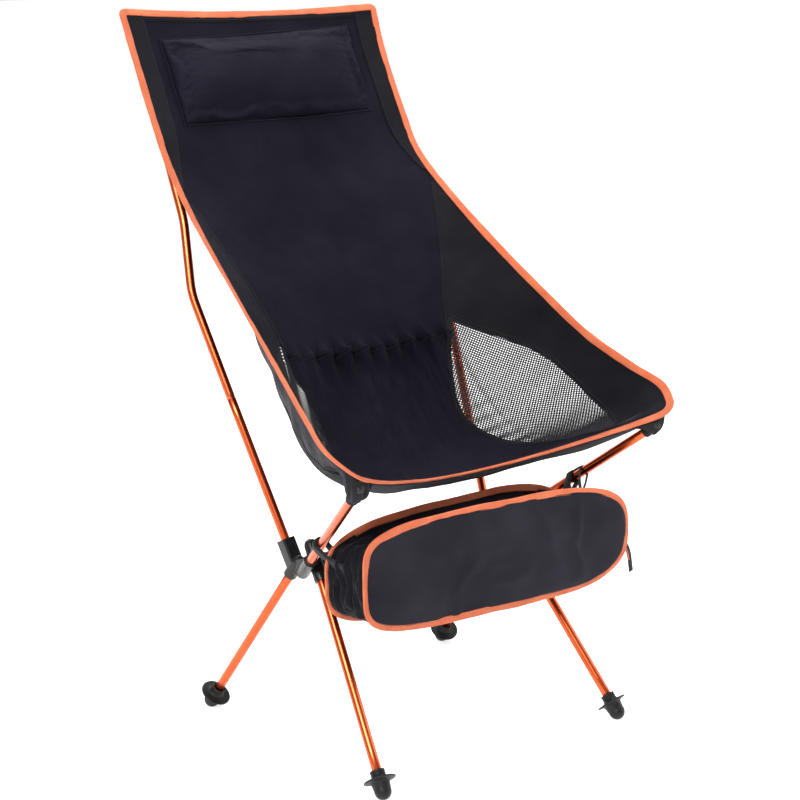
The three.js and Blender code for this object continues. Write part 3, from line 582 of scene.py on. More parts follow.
def settle(thing, pinned, grow, pressure, cap, frames, bending):
    """Lets a mesh move as cloth with its pinned points held, then keeps the result."""
    group = thing.vertex_groups.new(name="pinned")
    group.add([int(i) for i in pinned], 1.0, "REPLACE")
    shown = [(m.name, m.show_viewport) for m in thing.modifiers]
    for modifier in thing.modifiers:
        modifier.show_viewport = False
    cloth = thing.modifiers.new("cloth", "CLOTH")
    rules = cloth.settings
    rules.vertex_group_mass = "pinned"
    rules.quality = 7
    rules.mass = 0.08
    rules.tension_stiffness = 18
    rules.compression_stiffness = 18
    rules.shear_stiffness = 6
    rules.bending_stiffness = bending
    rules.shrink_min = -grow
    rules.effector_weights.gravity = 0
    if pressure:
        rules.use_pressure = True
        rules.uniform_pressure_force = pressure
    cloth.collision_settings.use_collision = False
    cloth.point_cache.frame_start = 1
    cloth.point_cache.frame_end = frames
    for k in range(1, frames + 1):
        bpy.context.scene.frame_set(k)
    solved = thing.evaluated_get(bpy.context.evaluated_depsgraph_get()).data
    count = len(thing.data.vertices)
    before, after = np.zeros(count * 3), np.zeros(count * 3)
    thing.data.vertices.foreach_get("co", before)
    solved.vertices.foreach_get("co", after)
    before, after = before.reshape(-1, 3), after.reshape(-1, 3)
    move = after - before
    far = np.linalg.norm(move, axis=1, keepdims=True)
    move *= np.minimum(1, cap / np.maximum(far, 1e-9))
    thing.modifiers.remove(cloth)
    thing.data.vertices.foreach_set("co", (before + move).ravel())
    thing.data.update()
    bpy.context.scene.frame_set(1)
    for key, value in shown:
        thing.modifiers[key].show_viewport = value


def points_of(thing, shape):
    co = np.zeros(len(thing.data.vertices) * 3)
    thing.data.vertices.foreach_get("co", co)
    return co.reshape(*shape, 3)


# ------------------------------------------------------------------ the sling's surface

def sling_point(u, v):
    """A point of the sling's middle surface: u over the stations, v from -1 at the left rim to 1."""
    u, v = np.broadcast_arrays(np.asarray(u, float), np.asarray(v, float))
    i = np.clip(np.floor(u).astype(int), 0, LAST - 1)
    t = (u - i)[..., None]
    s = catmull_rom(*(STATIONS[np.clip(i + k, 0, LAST)] for k in (-1, 0, 1, 2)), t)
    size = np.abs(v)
    rise = size ** s[..., 5]
    x = s[..., 0] * v * (1 + s[..., 6] * (1 - size ** 2))
    y = s[..., 3] + (s[..., 1] - s[..., 3]) * rise
    z = s[..., 4] + (s[..., 2] - s[..., 4]) * rise
    return np.stack([x, y, z], -1) + SHIFT


def sling_frame(u, v):
    """Unit directions along u and along v, the normal on the sitter's side, and metres per share of v."""
    d = 0.01
    u, v = np.broadcast_arrays(np.asarray(u, float), np.asarray(v, float))
    down = sling_point(np.minimum(u + d, LAST), v) - sling_point(np.maximum(u - d, 0), v)
    over = sling_point(u, np.minimum(v + d, 1)) - sling_point(u, np.maximum(v - d, -1))
    per = np.linalg.norm(over, axis=-1) / (np.minimum(v + d, 1) - np.maximum(v - d, -1))
    return unit(down), unit(over), unit(np.cross(down, over)), per


def smoothed(points):
    """A function through a few (station, share) points with its corners rounded off."""
    xs = np.linspace(points[0][0] - 0.5, points[-1][0] + 0.5, 600)
    ys = np.interp(xs, *zip(*points))
    window = np.hanning(41)
    soft = np.convolve(np.pad(ys, 20, "edge"), window / window.sum(), "valid")
    return lambda u: np.interp(u, xs, soft)


side_seam = smoothed(SIDE_SEAM)
mesh_top = smoothed(MESH_TOP)


def rim_share(u):
    """The share of the half width where the rim runs, less than 1 in the rounded corners."""
    u = np.asarray(u, float)
    share = np.ones_like(u)
    for distance, (long, wide) in ((u, TOP_CORNER), (LAST - u, FRONT_CORNER)):
        short = np.clip(1 - distance / long, 0, 1)
        share = np.where(distance < long, 1 - wide * (1 - np.sqrt(np.maximum(1 - short ** 2, 0))), share)
    return share


def cloth_share(u, inset=0.0012):
    """Where the cloth ends inside the tape."""
    per = sling_frame(u, 0.97)[3]
    return rim_share(u) - inset / per


def folds(u, v, points):
    """How far the cloth stands off its middle surface: soft waves, packing creases and gathered seams."""
    u, v = np.broadcast_arrays(np.asarray(u, float), np.asarray(v, float))
    lift = 0.0034 * crumple(points, 0.12, 3.1) + 0.0007 * crumple(points, 0.035, 7.7)
    sharp = np.clip(creases(points, 0.12, 11.3) - 0.72, 0, 1) * crumple(points, 0.2, 5.2)
    lift = lift + 0.0075 * sharp
    below = np.exp(np.where(u >= SEAT_SEAM, (SEAT_SEAM - u) / 0.8, (u - SEAT_SEAM) / 0.10))
    phase = 2 * np.pi * (v / 0.115 + 0.9 * crumple(points * (1, 0.25, 0.25), 0.09, 2.2))
    pleat = np.cos(phase) + 0.4 * np.cos(2 * phase + 1.0)
    gather = below * (0.6 + 0.9 * crumple(points, 0.06, 4.9)) * (np.abs(v) < 0.56)
    lift = lift + 0.0110 * gather * pleat
    wall = np.clip((np.abs(v) - 0.55) / 0.3, 0, 1) * np.clip((u - 4.4) / 1.2, 0, 1)
    slanted = np.sin(2 * np.pi * (u / 0.62 + np.abs(v) * 1.9 + 0.5 * crumple(points, 0.12, 9.4)))
    lift = lift + 0.0014 * wall * slanted
    crushed = wall * np.clip((u - 7.6) / 1.2, 0, 1) * creases(points, 0.055, 17.0)
    lift = lift + 0.0018 * crushed
    edge = np.exp(-(rim_share(u) - np.abs(v)) / 0.06) + np.exp(-(LAST - u) / 0.25)
    ripple = 2 * np.pi * points[..., 1] / 0.037 + 2 * crumple(points, 0.06, 1.2)
    lift = lift + 0.0010 * edge * np.sin(ripple)
    calm = np.clip((rim_share(u) - np.abs(v) - 0.028) / 0.05, 0, 1)
    calm = calm * np.clip((u - 0.09) / 0.12, 0, 1) * np.clip((LAST - u - 0.14) / 0.2, 0, 1)
    return lift * (0.04 + 0.96 * calm)


def rows_between(start, end):
    middle = sling_point(np.linspace(start, end, 200), 0.6)
    return np.linspace(start, end, max(int(arc(middle)[-1] / GRID), 3))


def sling_grid(rows, low, high, columns, lift=0.0):
    """Points, and the (u, v) of each, of a region of the sling between two limits across."""
    u = np.asarray(rows, float)[:, None]
    share = np.linspace(0, 1, columns)[None]
    v = low(u) + (high(u) - low(u)) * share
    u = np.broadcast_to(u, v.shape)
    flat = sling_point(u, v)
    normal = sling_frame(u, v)[2]
    return flat + normal * (folds(u, v, flat) + lift)[..., None]


def on_sling(u, v, lift=0.0):
    """Points on the folded cloth and the normals there."""
    flat = sling_point(u, v)
    normal = sling_frame(u, v)[2]
    return flat + normal * (folds(u, v, flat) + lift)[..., None], normal


# ------------------------------------------------------------------ frame

def straight(node):
    """The two ends of a straight CAD tube's axis, lower end first."""
    co = np.unique(np.round([v.co for v in NODES[node].data.vertices], 6), axis=0)
    middle = co.mean(0)
    axis = np.linalg.svd(co - middle, full_matrices=False)[2][0]
    axis = axis * (1 if axis[2] >= -1e-6 else -1)
    reach = (co - middle) @ axis
    return middle + axis * reach.min(), middle + axis * reach.max()


def body_of_node(node):
    return NODES[node].parent.name.removeprefix("body:")


def straight_pipe(name, node, radii, look):
    start, end = straight(node)
    path = start + (end - start) * np.linspace(0, 1, 9)[:, None]
    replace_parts(pipe(name, path, radii, look, body_of_node(node)), node)
    return unit(end - start), start, end


def right_side(point, side):
    return np.array(point) * (side, 1, 1) + SHIFT


def back_pole_path(side):
    corners = [right_side(p, side) for p in BACK_POLE]
    path = [corners[0]]
    for before, corner, after in zip(corners, corners[1:], corners[2:]):
        start = corner + unit(before - corner) * BEND_LENGTH
        end = corner + unit(after - corner) * BEND_LENGTH
        t = np.linspace(0, 1, 11)[:, None]
        path += list((1 - t) ** 2 * start + 2 * t * (1 - t) * corner + t ** 2 * end)
    path.append(corners[-1])
    path = np.array(path)
    return along(path, np.linspace(0, arc(path)[-1], 110))


def foot(name, node, look):
    """A turned rubber foot: round tip, flange and ribbed collar, cut where it stands."""
    leg = straight(node.replace("_foot", "_tube"))
    axis = unit(leg[1] - leg[0])
    base = leg[0] - axis * 0.00335
    tip = 0.0115 / axis[2]
    profile = [(0.0001, -tip - 0.0113)]
    for k in range(1, 13):
        turn = k / 12 * math.pi / 2
        profile.append((0.0113 * math.sin(turn), -tip - 0.0113 * math.cos(turn)))
    profile += [(0.0116, -tip + 0.0008), (0.0112, -tip + 0.0014), (0.0114, -tip + 0.0024), (0.0124, -0.0052)]
    profile += [(0.0132, -0.0032), (0.0150, -0.0018), (0.0198, -0.0013), (0.0212, -0.0010), (0.0219, -0.0003)]
    profile += [(0.0219, 0.0004), (0.0212, 0.0011), (0.0190, 0.0015), (0.0118, 0.0024), (0.0102, 0.0036)]
    for k in range(2):
        z = 0.0052 + k * 0.0030
        profile += [(0.0101, z), (0.0095, z + 0.0005), (0.0095, z + 0.0012), (0.0101, z + 0.0017)]
    profile += [(0.0101, 0.0122), (0.0097, 0.0130), (0.0070, 0.0131), (0.00685, 0.0125), (0.00685, 0.0031),
                (0.0001, 0.0030)]
    side, up = carried(np.array([base, base + axis]))
    rings = []
    for radius, height in profile:
        rings.append(base + axis * height + circle(radius, 44) @ np.stack([side[0], up[0]]))
    grid = np.array(rings)
    grid[..., 2] = np.maximum(grid[..., 2], 0)
    rubber = surface(name, grid, look, body_of_node(node), wrap_columns=True, caps=True)
    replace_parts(rubber, node)


def moulding(node, look):
    """Keeps a CAD node, with its hard edges softened."""
    thing = NODES[node]
    thing.data.materials.clear()
    thing.data.materials.append(look)
    thing.data.shade_smooth()
    weld = thing.modifiers.new("weld", "WELD")
    weld.merge_threshold = 0.00002
    bevel = thing.modifiers.new("edges", "BEVEL")
    bevel.width = 0.0011
    bevel.segments = 3
    bevel.limit_method = "ANGLE"
    bevel.angle_limit = math.radians(38)
    bevel.harden_normals = True
    thing.modifiers.new("normals", "WEIGHTED_NORMAL")


def dress(node, look):
    """Gives a CAD node that keeps its shape its finished material."""
    thing = NODES[node]
    thing.data.materials.clear()
    thing.data.materials.append(look)
    thing.data.shade_smooth()


def collar(name, node, at, radius, look, body):
    """A rubber ring round a pole where it enters its socket."""
    start, end = straight(node)
    axis = unit(end - start)
    side, up = carried(np.array([start, start + axis]))
    section = [(radius - 0.0004, -0.0012), (radius + 0.0012, -0.0010), (radius + 0.0017, 0),
               (radius + 0.0012, 0.0010), (radius - 0.0004, 0.0012)]
    rings = [start + axis * (at + z) + circle(r, 32) @ np.stack([side[0], up[0]]) for r, z in section]
    surface(name, rings, look, body, wrap_rows=True, wrap_columns=True)


FRAME_LOOKS = ("tube", "hub_plastic", "foot_rubber", "cap_plastic", "shock_cord")


def make_frame(looks):
    tube_look, hub_look, rubber, cap, cord = (looks[k] for k in FRAME_LOOKS)
    straight_pipe("cross_tube_finish", "cross_tube", LEG_TUBE, tube_look)
    dress("cross_shock_cord", cord)
    for tag, side in SIDES:
        moulding(f"hub_{tag}", hub_look)
        for leg in ("front_leg", "rear_leg"):
            straight_pipe(f"{leg}_{tag}_pole", f"{leg}_{tag}_tube", LEG_TUBE, tube_look)
            dress(f"{leg}_{tag}_shock_cord", cord)
            foot(f"{leg}_{tag}_rubber_foot", f"{leg}_{tag}_foot", rubber)
        straight_pipe(f"seat_pole_{tag}_finish", f"seat_pole_{tag}", LEG_TUBE, tube_look)
        collar(f"seat_socket_ring_{tag}", f"seat_pole_{tag}", 0.0305, LEG_TUBE[0], cap, "frame")
        straight_pipe(f"back_pole_lower_{tag}_finish", f"back_pole_lower_{tag}", BACK_TUBE, tube_look)
        path = back_pole_path(side)
        upper = pipe(f"back_pole_upper_{tag}_finish", path, BACK_TUBE, tube_look, "frame")
        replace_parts(upper, f"back_pole_upper_{tag}")
        dress(f"back_pole_ferrule_{tag}", looks["alloy"])
        dress(f"seat_pole_shock_cord_{tag}", cord)
        dress(f"back_pole_shock_cord_{tag}", cord)
        dress(f"seat_pole_cap_{tag}", cap)
        dress(f"back_pole_cap_{tag}", cap)


# ------------------------------------------------------------------ sling

def panel(name, rows, low, high, columns, look, lift=0.0):
    grid = sling_grid(rows, low, high, columns, lift)
    thing = surface(name, grid, look, "frame", CLOTH)
    cut(grid)
    return thing


def seam_rows(name, u, v, out, look, apart=0.0034):
    """Two rows of stitches either side of a seam."""
    centre, normal = on_sling(u, v)
    across = unit(np.cross(unit(np.gradient(centre, axis=0)), normal))
    for row, sign in (("a", -1), ("b", 1)):
        path = centre + across * (sign * apart / 2) + normal * out
        thread(f"{name}_{row}", path, normal, look, "frame", "sling_cloth")


def ridge(name, u, v, width, height, look):
    """A felled seam: a low ridge of doubled cloth along a line of the sling, on both faces."""
    centre, normal = on_sling(u, v)
    across = unit(np.cross(unit(np.gradient(centre, axis=0)), normal))
    half, base = width / 2, CLOTH / 2 - 0.0001
    top = base + height
    ring = [(-half, base), (-half * 0.86, top), (0, top * 1.04), (half * 0.86, top), (half, base)]
    ring += [(half, -base), (half * 0.86, -top), (0, -top), (-half * 0.86, -top), (-half, -base)]
    grid = np.stack([centre + across * a + normal * h for a, h in ring], 1)
    return surface(name, grid, look, "frame", wrap_columns=True, caps=True)


def fold_tape(name, centre, across, normal, widths, look, body, swell, seed):
    """Tape folded round an edge; across points out of the cloth, widths are outside and inside the edge."""
    out, inward = widths
    half = TAPE_HALF
    ripple = crumple(centre, 0.022, seed)[:, None]
    wide = 1 + 0.10 * crumple(centre, 0.05, seed + 4)[:, None]
    wide = wide + 0.09 * crumple(centre, 0.018, seed + 9)[:, None]
    centre = centre + normal * (swell * ripple)
    hollow = half - 0.0007
    ring = [(-inward, half * 0.86), (-inward * 0.5, half * 1.02), (0, half * 1.06), (out * 0.55, half),
            (out * 0.9, half * 0.62), (out, 0), (out * 0.9, -half * 0.62), (out * 0.55, -half),
            (0, -half * 1.06), (-inward * 0.5, -half * 1.02), (-inward, -half * 0.86), (-inward, -hollow),
            (-inward * 0.4, -hollow),
            (out * 0.5, -hollow * 0.9), (out * 0.72, 0), (out * 0.5, hollow * 0.9), (-inward * 0.4, hollow),
            (-inward, hollow)]
    grid = np.stack([centre + across * a * wide + normal * h for a, h in ring], 1)
    return surface(name, grid, look, body, wrap_rows=True, wrap_columns=True)


def rim_path():
    """(u, v) round the sling's edge, clockwise seen by the sitter, with rounded corners."""
    steps_side, steps_end = 330, 120
    (tu, tv), (fu, fv) = TOP_CORNER, FRONT_CORNER
    turn = np.linspace(0, math.pi / 2, 22, endpoint=False)
    sine, cosine = np.sin(turn), np.cos(turn)
    run = [
        (0, np.linspace(-1 + tv, 1 - tv, steps_end, endpoint=False)),
        (tu - tu * cosine, 1 - tv + tv * sine),
        (np.linspace(tu, LAST - fu, steps_side, endpoint=False), 1),
        (LAST - fu + fu * sine, 1 - fv + fv * cosine),
        (LAST, np.linspace(1 - fv, -1 + fv, steps_end, endpoint=False)),
        (LAST - fu + fu * cosine, -1 + fv - fv * sine),
        (np.linspace(LAST - fu, tu, steps_side, endpoint=False), -1),
        (tu - tu * sine, -1 + tv - tv * cosine),
    ]
    return np.vstack([np.stack(np.broadcast_arrays(u, v), -1) for u, v in run])


def make_edge_tape(looks):
    run = rim_path()
    u, v = run[:, 0], run[:, 1]
    centre = sling_point(u, v)
    normal = sling_frame(u, v)[2]
    closed = np.vstack([centre[-1:], centre, centre[:1]])
    ahead = unit(closed[2:] - closed[:-2])
    across = unit(np.cross(ahead, normal))
    inside = sling_point(4, 0) - centre
    across = across * np.sign(-(across * inside).sum(-1, keepdims=True).sum())
    tape = fold_tape("edge_tape", centre, across, normal, (TAPE_OUT, TAPE_IN), looks["tape"], "frame",
                     swell=0.0006, seed=1.5)
    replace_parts(tape, "edge_binding")
    for name, sign in (("front", 1), ("back", -1)):
        path = centre + across * (-TAPE_IN + 0.0016) + normal * sign * (TAPE_HALF + 0.0001)
        path = np.vstack([path, path[:1]])
        out = np.vstack([normal, normal[:1]]) * sign
        thread(f"edge_tape_stitches_{name}", path, out, looks["tape_thread"], "frame", "binding_tape")


def mesh_lattice(side):
    """The knitted net's threads: diamonds of one size on the surface, kept where they fall in its opening."""
    rows_u = np.linspace(*MESH_ENDS, 4000)
    length = arc(sling_point(rows_u, 0.62))
    count = int(length[-1] / NET_STEP)
    rows = np.interp(np.arange(count) * NET_STEP, length, rows_u)
    fine = np.linspace(0.3, 0.95, 320)
    points, keep = [], []
    span = np.arange(-90, 91)
    for u in rows:
        line = sling_point(u, fine)
        reach = arc(line)
        reach -= np.interp(0.62, fine, reach)
        v = np.interp(span * NET_STEP, reach, fine, left=np.nan, right=np.nan)
        low, high = side_seam(u) - 0.006, max(mesh_top(u), side_seam(u)) + 0.006
        keep.append((v >= low) & (v <= high))
        points.append(np.where(np.isnan(v), 0.5, v))
    v, keep = np.array(points), np.array(keep)
    u = np.broadcast_to(rows[:, None], v.shape)
    base, normal = on_sling(u, v * side)
    base = (base + sling_point(u, v * side)) / 2
    sag = np.clip((0.62 - v) / 0.2, 0, 1) * np.clip((u - 6.6) / 0.8, 0, 1) * np.clip((9.3 - u) / 0.8, 0, 1)
    waves = length.max() / 0.021 * (u - MESH_ENDS[0]) / (MESH_ENDS[1] - MESH_ENDS[0])
    base = base + normal * (0.0016 * sag * np.sin(2 * np.pi * waves))[..., None]
    number = -np.ones(v.shape, int)
    faces, vertices = [], []
    for r in range(1, v.shape[0] - 1):
        for c in range(1, v.shape[1] - 1):
            if (r + c) % 2:
                ring = [(r - 1, c), (r, c + 1), (r + 1, c), (r, c - 1)]
                if all(keep[a, b] for a, b in ring):
                    for a, b in ring:
                        if number[a, b] < 0:
                            number[a, b] = len(vertices)
                            vertices.append(base[a, b])
                    faces.append([int(number[a, b]) for a, b in ring])
    return np.array(vertices), np.array(faces)


def holed(vertices, faces):
    """Each diamond of a lattice turned into eight quads round a hole, joined to the next ones."""
    edges = np.stack([faces, np.roll(faces, -1, 1)], -1).reshape(-1, 2)
    edges = np.sort(edges, 1)
    pairs, where = np.unique(edges, axis=0, return_inverse=True)
    middles = vertices[pairs].mean(1)
    corners, halfway = vertices[faces], middles[where.reshape(-1, 4)]
    centre = corners.mean(1, keepdims=True)
    inner = [centre + (corners - centre) * HOLE, centre + (halfway - centre) * HOLE * math.sqrt(2)]
    inner = np.stack(inner, 2)
    count, made = len(faces), len(vertices) + len(middles)
    outer = np.stack([faces, len(vertices) + where.reshape(-1, 4)], 2).reshape(count, 8)
    hole = made + np.arange(count * 8).reshape(count, 8)
    quads = np.stack([outer, np.roll(outer, -1, 1), np.roll(hole, -1, 1), hole], -1).reshape(-1, 4)
    return np.vstack([vertices, middles, inner.reshape(-1, 3)]), quads


def make_net(tag, side, look):
    vertices, faces = mesh_lattice(side)
    points, quads = holed(vertices, faces)
    uv = points[quads.ravel()][:, 1:]
    net = piece(f"net_{tag}", points, quads.tolist(), look, "frame", uv, NET_THICKNESS)
    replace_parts(net, f"mesh_panel_{tag}")


def make_sling(looks):
    cloth, strip, wall = looks["sling"], looks["strip"], looks["wall"]

    def half(u):
        return np.minimum(cloth_share(u), side_seam(u))

    back = panel("back_cloth", rows_between(0.02, SEAT_SEAM), lambda u: -half(u), half, 108, cloth)
    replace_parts(back, "back_panel")
    seat = panel("seat_cloth", rows_between(SEAT_SEAM, LAST - 0.02), lambda u: -half(u), half, 116, cloth)
    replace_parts(seat, "seat_panel")

    seam_u = np.full(120, SEAT_SEAM)
    seam_v = np.linspace(-1, 1, 120) * side_seam(SEAT_SEAM)
    ridge("seat_seam", seam_u, seam_v, 0.009, 0.0007, cloth)
    seam_rows("seat_seam_stitches", seam_u, seam_v, 0.0012, looks["sewing_thread"], apart=0.005)

    # Hem across the top, and reinforcement strips down both sides of the back.
    panel("top_hem", np.linspace(0.02, HEM_END, 8), lambda u: -cloth_share(u), cloth_share, 110, strip,
          STRIP_LIFT)
    ends = np.full(100, HEM_END - 0.015)
    across = np.linspace(-0.93, 0.93, 100)
    seam_rows("top_hem_stitches", ends, across, 0.0017, looks["sewing_thread"], apart=0.003)
    for tag, side in SIDES:
        def outer(u):
            return side * cloth_share(u)

        def strip_outer(u):
            return side * cloth_share(u, TAPE_IN - 0.001)

        def inner(u):
            narrow = np.clip((u - STRIP_TAPER) / (STRIP_ENDS[1] - STRIP_TAPER), 0, 1)
            return side * (STRIP_INNER + (STRIP_END_INNER - STRIP_INNER) * narrow ** 1.5)

        rows = rows_between(*STRIP_ENDS)
        panel(f"back_strip_{tag}", rows, inner, strip_outer, 12, strip, STRIP_LIFT)
        u = np.linspace(STRIP_ENDS[0] + 0.05, STRIP_ENDS[1] - 0.05, 160)
        centre, normal = on_sling(u, inner(u) + side * 0.012, STRIP_LIFT)
        thread(f"back_strip_stitches_{tag}", centre + normal * 0.0006, normal, looks["sewing_thread"],
               "frame", "sling_cloth")

        # Side wall: one sheet from the side seam, or from the net's upper edge where that is higher, out to
        # the rim.
        def top_edge(u):
            return side * np.where(u < MESH_ENDS[0], side_seam(u), np.maximum(mesh_top(u), side_seam(u)))

        wall_rows = np.concatenate([rows_between(3.3, MESH_ENDS[1])[:-1], np.linspace(MESH_ENDS[1], 9.8, 6)])
        side_cloth = panel(f"side_cloth_{tag}", wall_rows, top_edge, outer, 40, wall)
        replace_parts(side_cloth, f"side_panel_{tag}")

        # Seams: down the wall, and round the net.
        u = np.linspace(3.6, 9.6, 260)
        v = side * side_seam(u)
        ridge(f"side_seam_{tag}", u, v, 0.007, 0.0006, wall)
        seam_rows(f"side_seam_stitches_{tag}", u, v, 0.0011, looks["sewing_thread"])
        u = np.linspace(*MESH_ENDS, 200)
        v = side * np.maximum(mesh_top(u), side_seam(u))
        ridge(f"net_seam_{tag}", u, v, 0.008, 0.0007, wall)
        seam_rows(f"net_seam_stitches_{tag}", u, v, 0.0012, looks["sewing_thread"], apart=0.0045)
        make_net(tag, side, looks["net_yarn"])
    make_edge_tape(looks)


def make_front_valance(looks):
    """Doubled cloth under the front edge, from the tape down and back to the seat's underside."""
    v = np.linspace(-0.95, 0.95, 150)
    top = sling_point(LAST, v)
    down, _, normal, _ = sling_frame(LAST, v)
    corner = np.abs(v) ** 4
    depth = 0.011 + 0.010 * np.exp(-((np.abs(v) - 0.66) / 0.2) ** 2)
    depth = depth + 0.003 * corner + 0.002 * crumple(top, 0.08, 6.0)
    middle = top - normal * (depth * 1.15)[:, None] - down * 0.004
    end = sling_point(LAST - 0.55, v) - sling_frame(LAST - 0.55, v)[2] * 0.0022
    t = np.linspace(0.04, 1, 15)[:, None, None]
    start = top - normal * 0.0012
    grid = (1 - t) ** 2 * start + 2 * t * (1 - t) * middle + t ** 2 * end
    grid = grid + normal * (0.0006 * crumple(grid, 0.03, 8.0))[..., None]
    thing = surface("front_valance", grid, looks["valance"], "frame", CLOTH)
    cut(grid)


def closed_run(points, count):
    """A closed run through a few (u, v) points with its corners rounded off."""
    t = np.linspace(0, len(points), count, endpoint=False)
    run = np.stack([np.interp(t, range(len(points) + 1), [*column, column[0]]) for column in zip(*points)])
    window = np.hanning(count // len(points) + 3)
    window = window / window.sum()
    soft = [np.convolve(np.pad(row, count, "wrap"), window, "same")[count:-count] for row in run]
    return np.stack(soft, -1)


def tied_ring(loop, centre, axis, radius):
    """A ring round a pole with a point for each point of a loop, turned so that they face each other."""
    side, up = carried(np.array([centre, centre + axis]))
    angle = np.linspace(0, 2 * math.pi, len(loop), endpoint=False)
    turned = [sign * angle + first for sign in (1, -1) for first in angle]
    rings = [centre + radius * (np.cos(a)[:, None] * side[0] + np.sin(a)[:, None] * up[0]) for a in turned]
    return min(rings, key=lambda ring: np.linalg.norm(ring - loop, axis=1).sum())


def make_pockets(looks):
    """Cloth pockets over the four pole tips: cones under the front corners, sleeves behind the top ones."""
    for tag, side in SIDES:
        hub, tip = (right_side(p, side) for p in SEAT_POLE)
        axis = unit(tip - hub)
        run = closed_run(CORNER_LOOP, 96)
        loop = on_sling(run[:, 0], run[:, 1] * side, -0.0015)[0]
        mouth = tip - axis * POCKET_REACH[tag]
        ring = tied_ring(loop, mouth, axis, LEG_TUBE[0] + 0.0016)
        neck = ring + axis * 0.008
        share = np.linspace(0, 1, 6)[:, None, None]
        sleeve = ring * (1 - share) + neck * share
        round_tip = tip + (ring - mouth) * (POCKET_ROUND[tag] / (LEG_TUBE[0] + 0.0016))
        a = np.linspace(0, 1, 30)[1:, None, None]
        spread = (1 - a) ** 2 * neck + 2 * a * (1 - a) * round_tip + a ** 2 * loop
        outward = unit(spread - (mouth + axis * 0.02))
        pleats = 0.0016 * np.sin(np.pi * a) * np.cos(2 * np.pi * np.arange(len(run)) / 10.7)[None, :, None]
        pleats = pleats + 0.0022 * np.sin(np.pi * a) * crumple(spread, 0.025, 4.0 + side)[..., None]
        rings = np.concatenate([sleeve[:-1], spread + outward * pleats])
        grid = np.concatenate([rings, rings[:, :1]], 1)
        pocket = surface(f"corner_pocket_{tag}", grid, looks["pocket"], "frame", CLOTH)
        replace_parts(pocket, f"front_pocket_{tag}")
        cut(grid)
        line = np.vstack([ring, ring[:1]]) + axis * 0.004
        out = unit(line - mouth - axis * 0.004)
        thread(f"corner_pocket_stitches_{tag}", line + out * 0.0006, out, looks["sewing_thread"], "frame",
               "sling_cloth", pitch=0.003, length=0.0022)

        upper, top = (right_side(p, side) for p in BACK_POLE[2:])
        axis = unit(top - upper)
        path = top - axis * np.linspace(0.052, -0.0062, 36)[:, None]
        levels = np.linspace(0.06, 1.4, 300)
        nearest = sling_point(levels, 0.9 * side)
        rows = []
        for point in path:
            u = levels[np.argmin(np.linalg.norm(nearest - point, axis=1))]
            rows.append(top_sleeve_row(point, axis, u, side, 1.0))
        rows += [top_sleeve_row(path[-1], axis, u, side, share) for share in SLEEVE_CLOSING]
        grid = np.array(rows)
        sleeve = surface(f"top_sleeve_{tag}", grid, looks["sling"], "frame", CLOTH)
        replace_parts(sleeve, f"top_pocket_{tag}")
        cut(grid)


def top_sleeve_row(point, axis, u, side, share):
    """Cloth from one edge sewn on the sling's rear, round the pole, to the other; share 0 lays it flat."""
    sewn, normal = on_sling(np.full(2, u), np.array(SLEEVE_EDGES) * side, -0.0013)
    behind = -unit(normal.mean(0) - axis * (axis @ normal.mean(0)))
    beside = unit(np.cross(axis, behind))
    beside = beside * np.sign(beside @ (sewn[1] - sewn[0]))
    angle = np.radians(np.linspace(-80, 80, 19))[:, None]
    round_pole = point + (BACK_TUBE[0] + 0.0016) * (np.sin(angle) * beside + np.cos(angle) * behind)
    across = np.linspace(0.3, 0.7, 19)[:, None]
    flat = sewn[0] * (1 - across) + sewn[1] * across
    bend = flat + (round_pole - flat) * share
    return smooth_line([sewn[0], *bend, sewn[1]], 57)


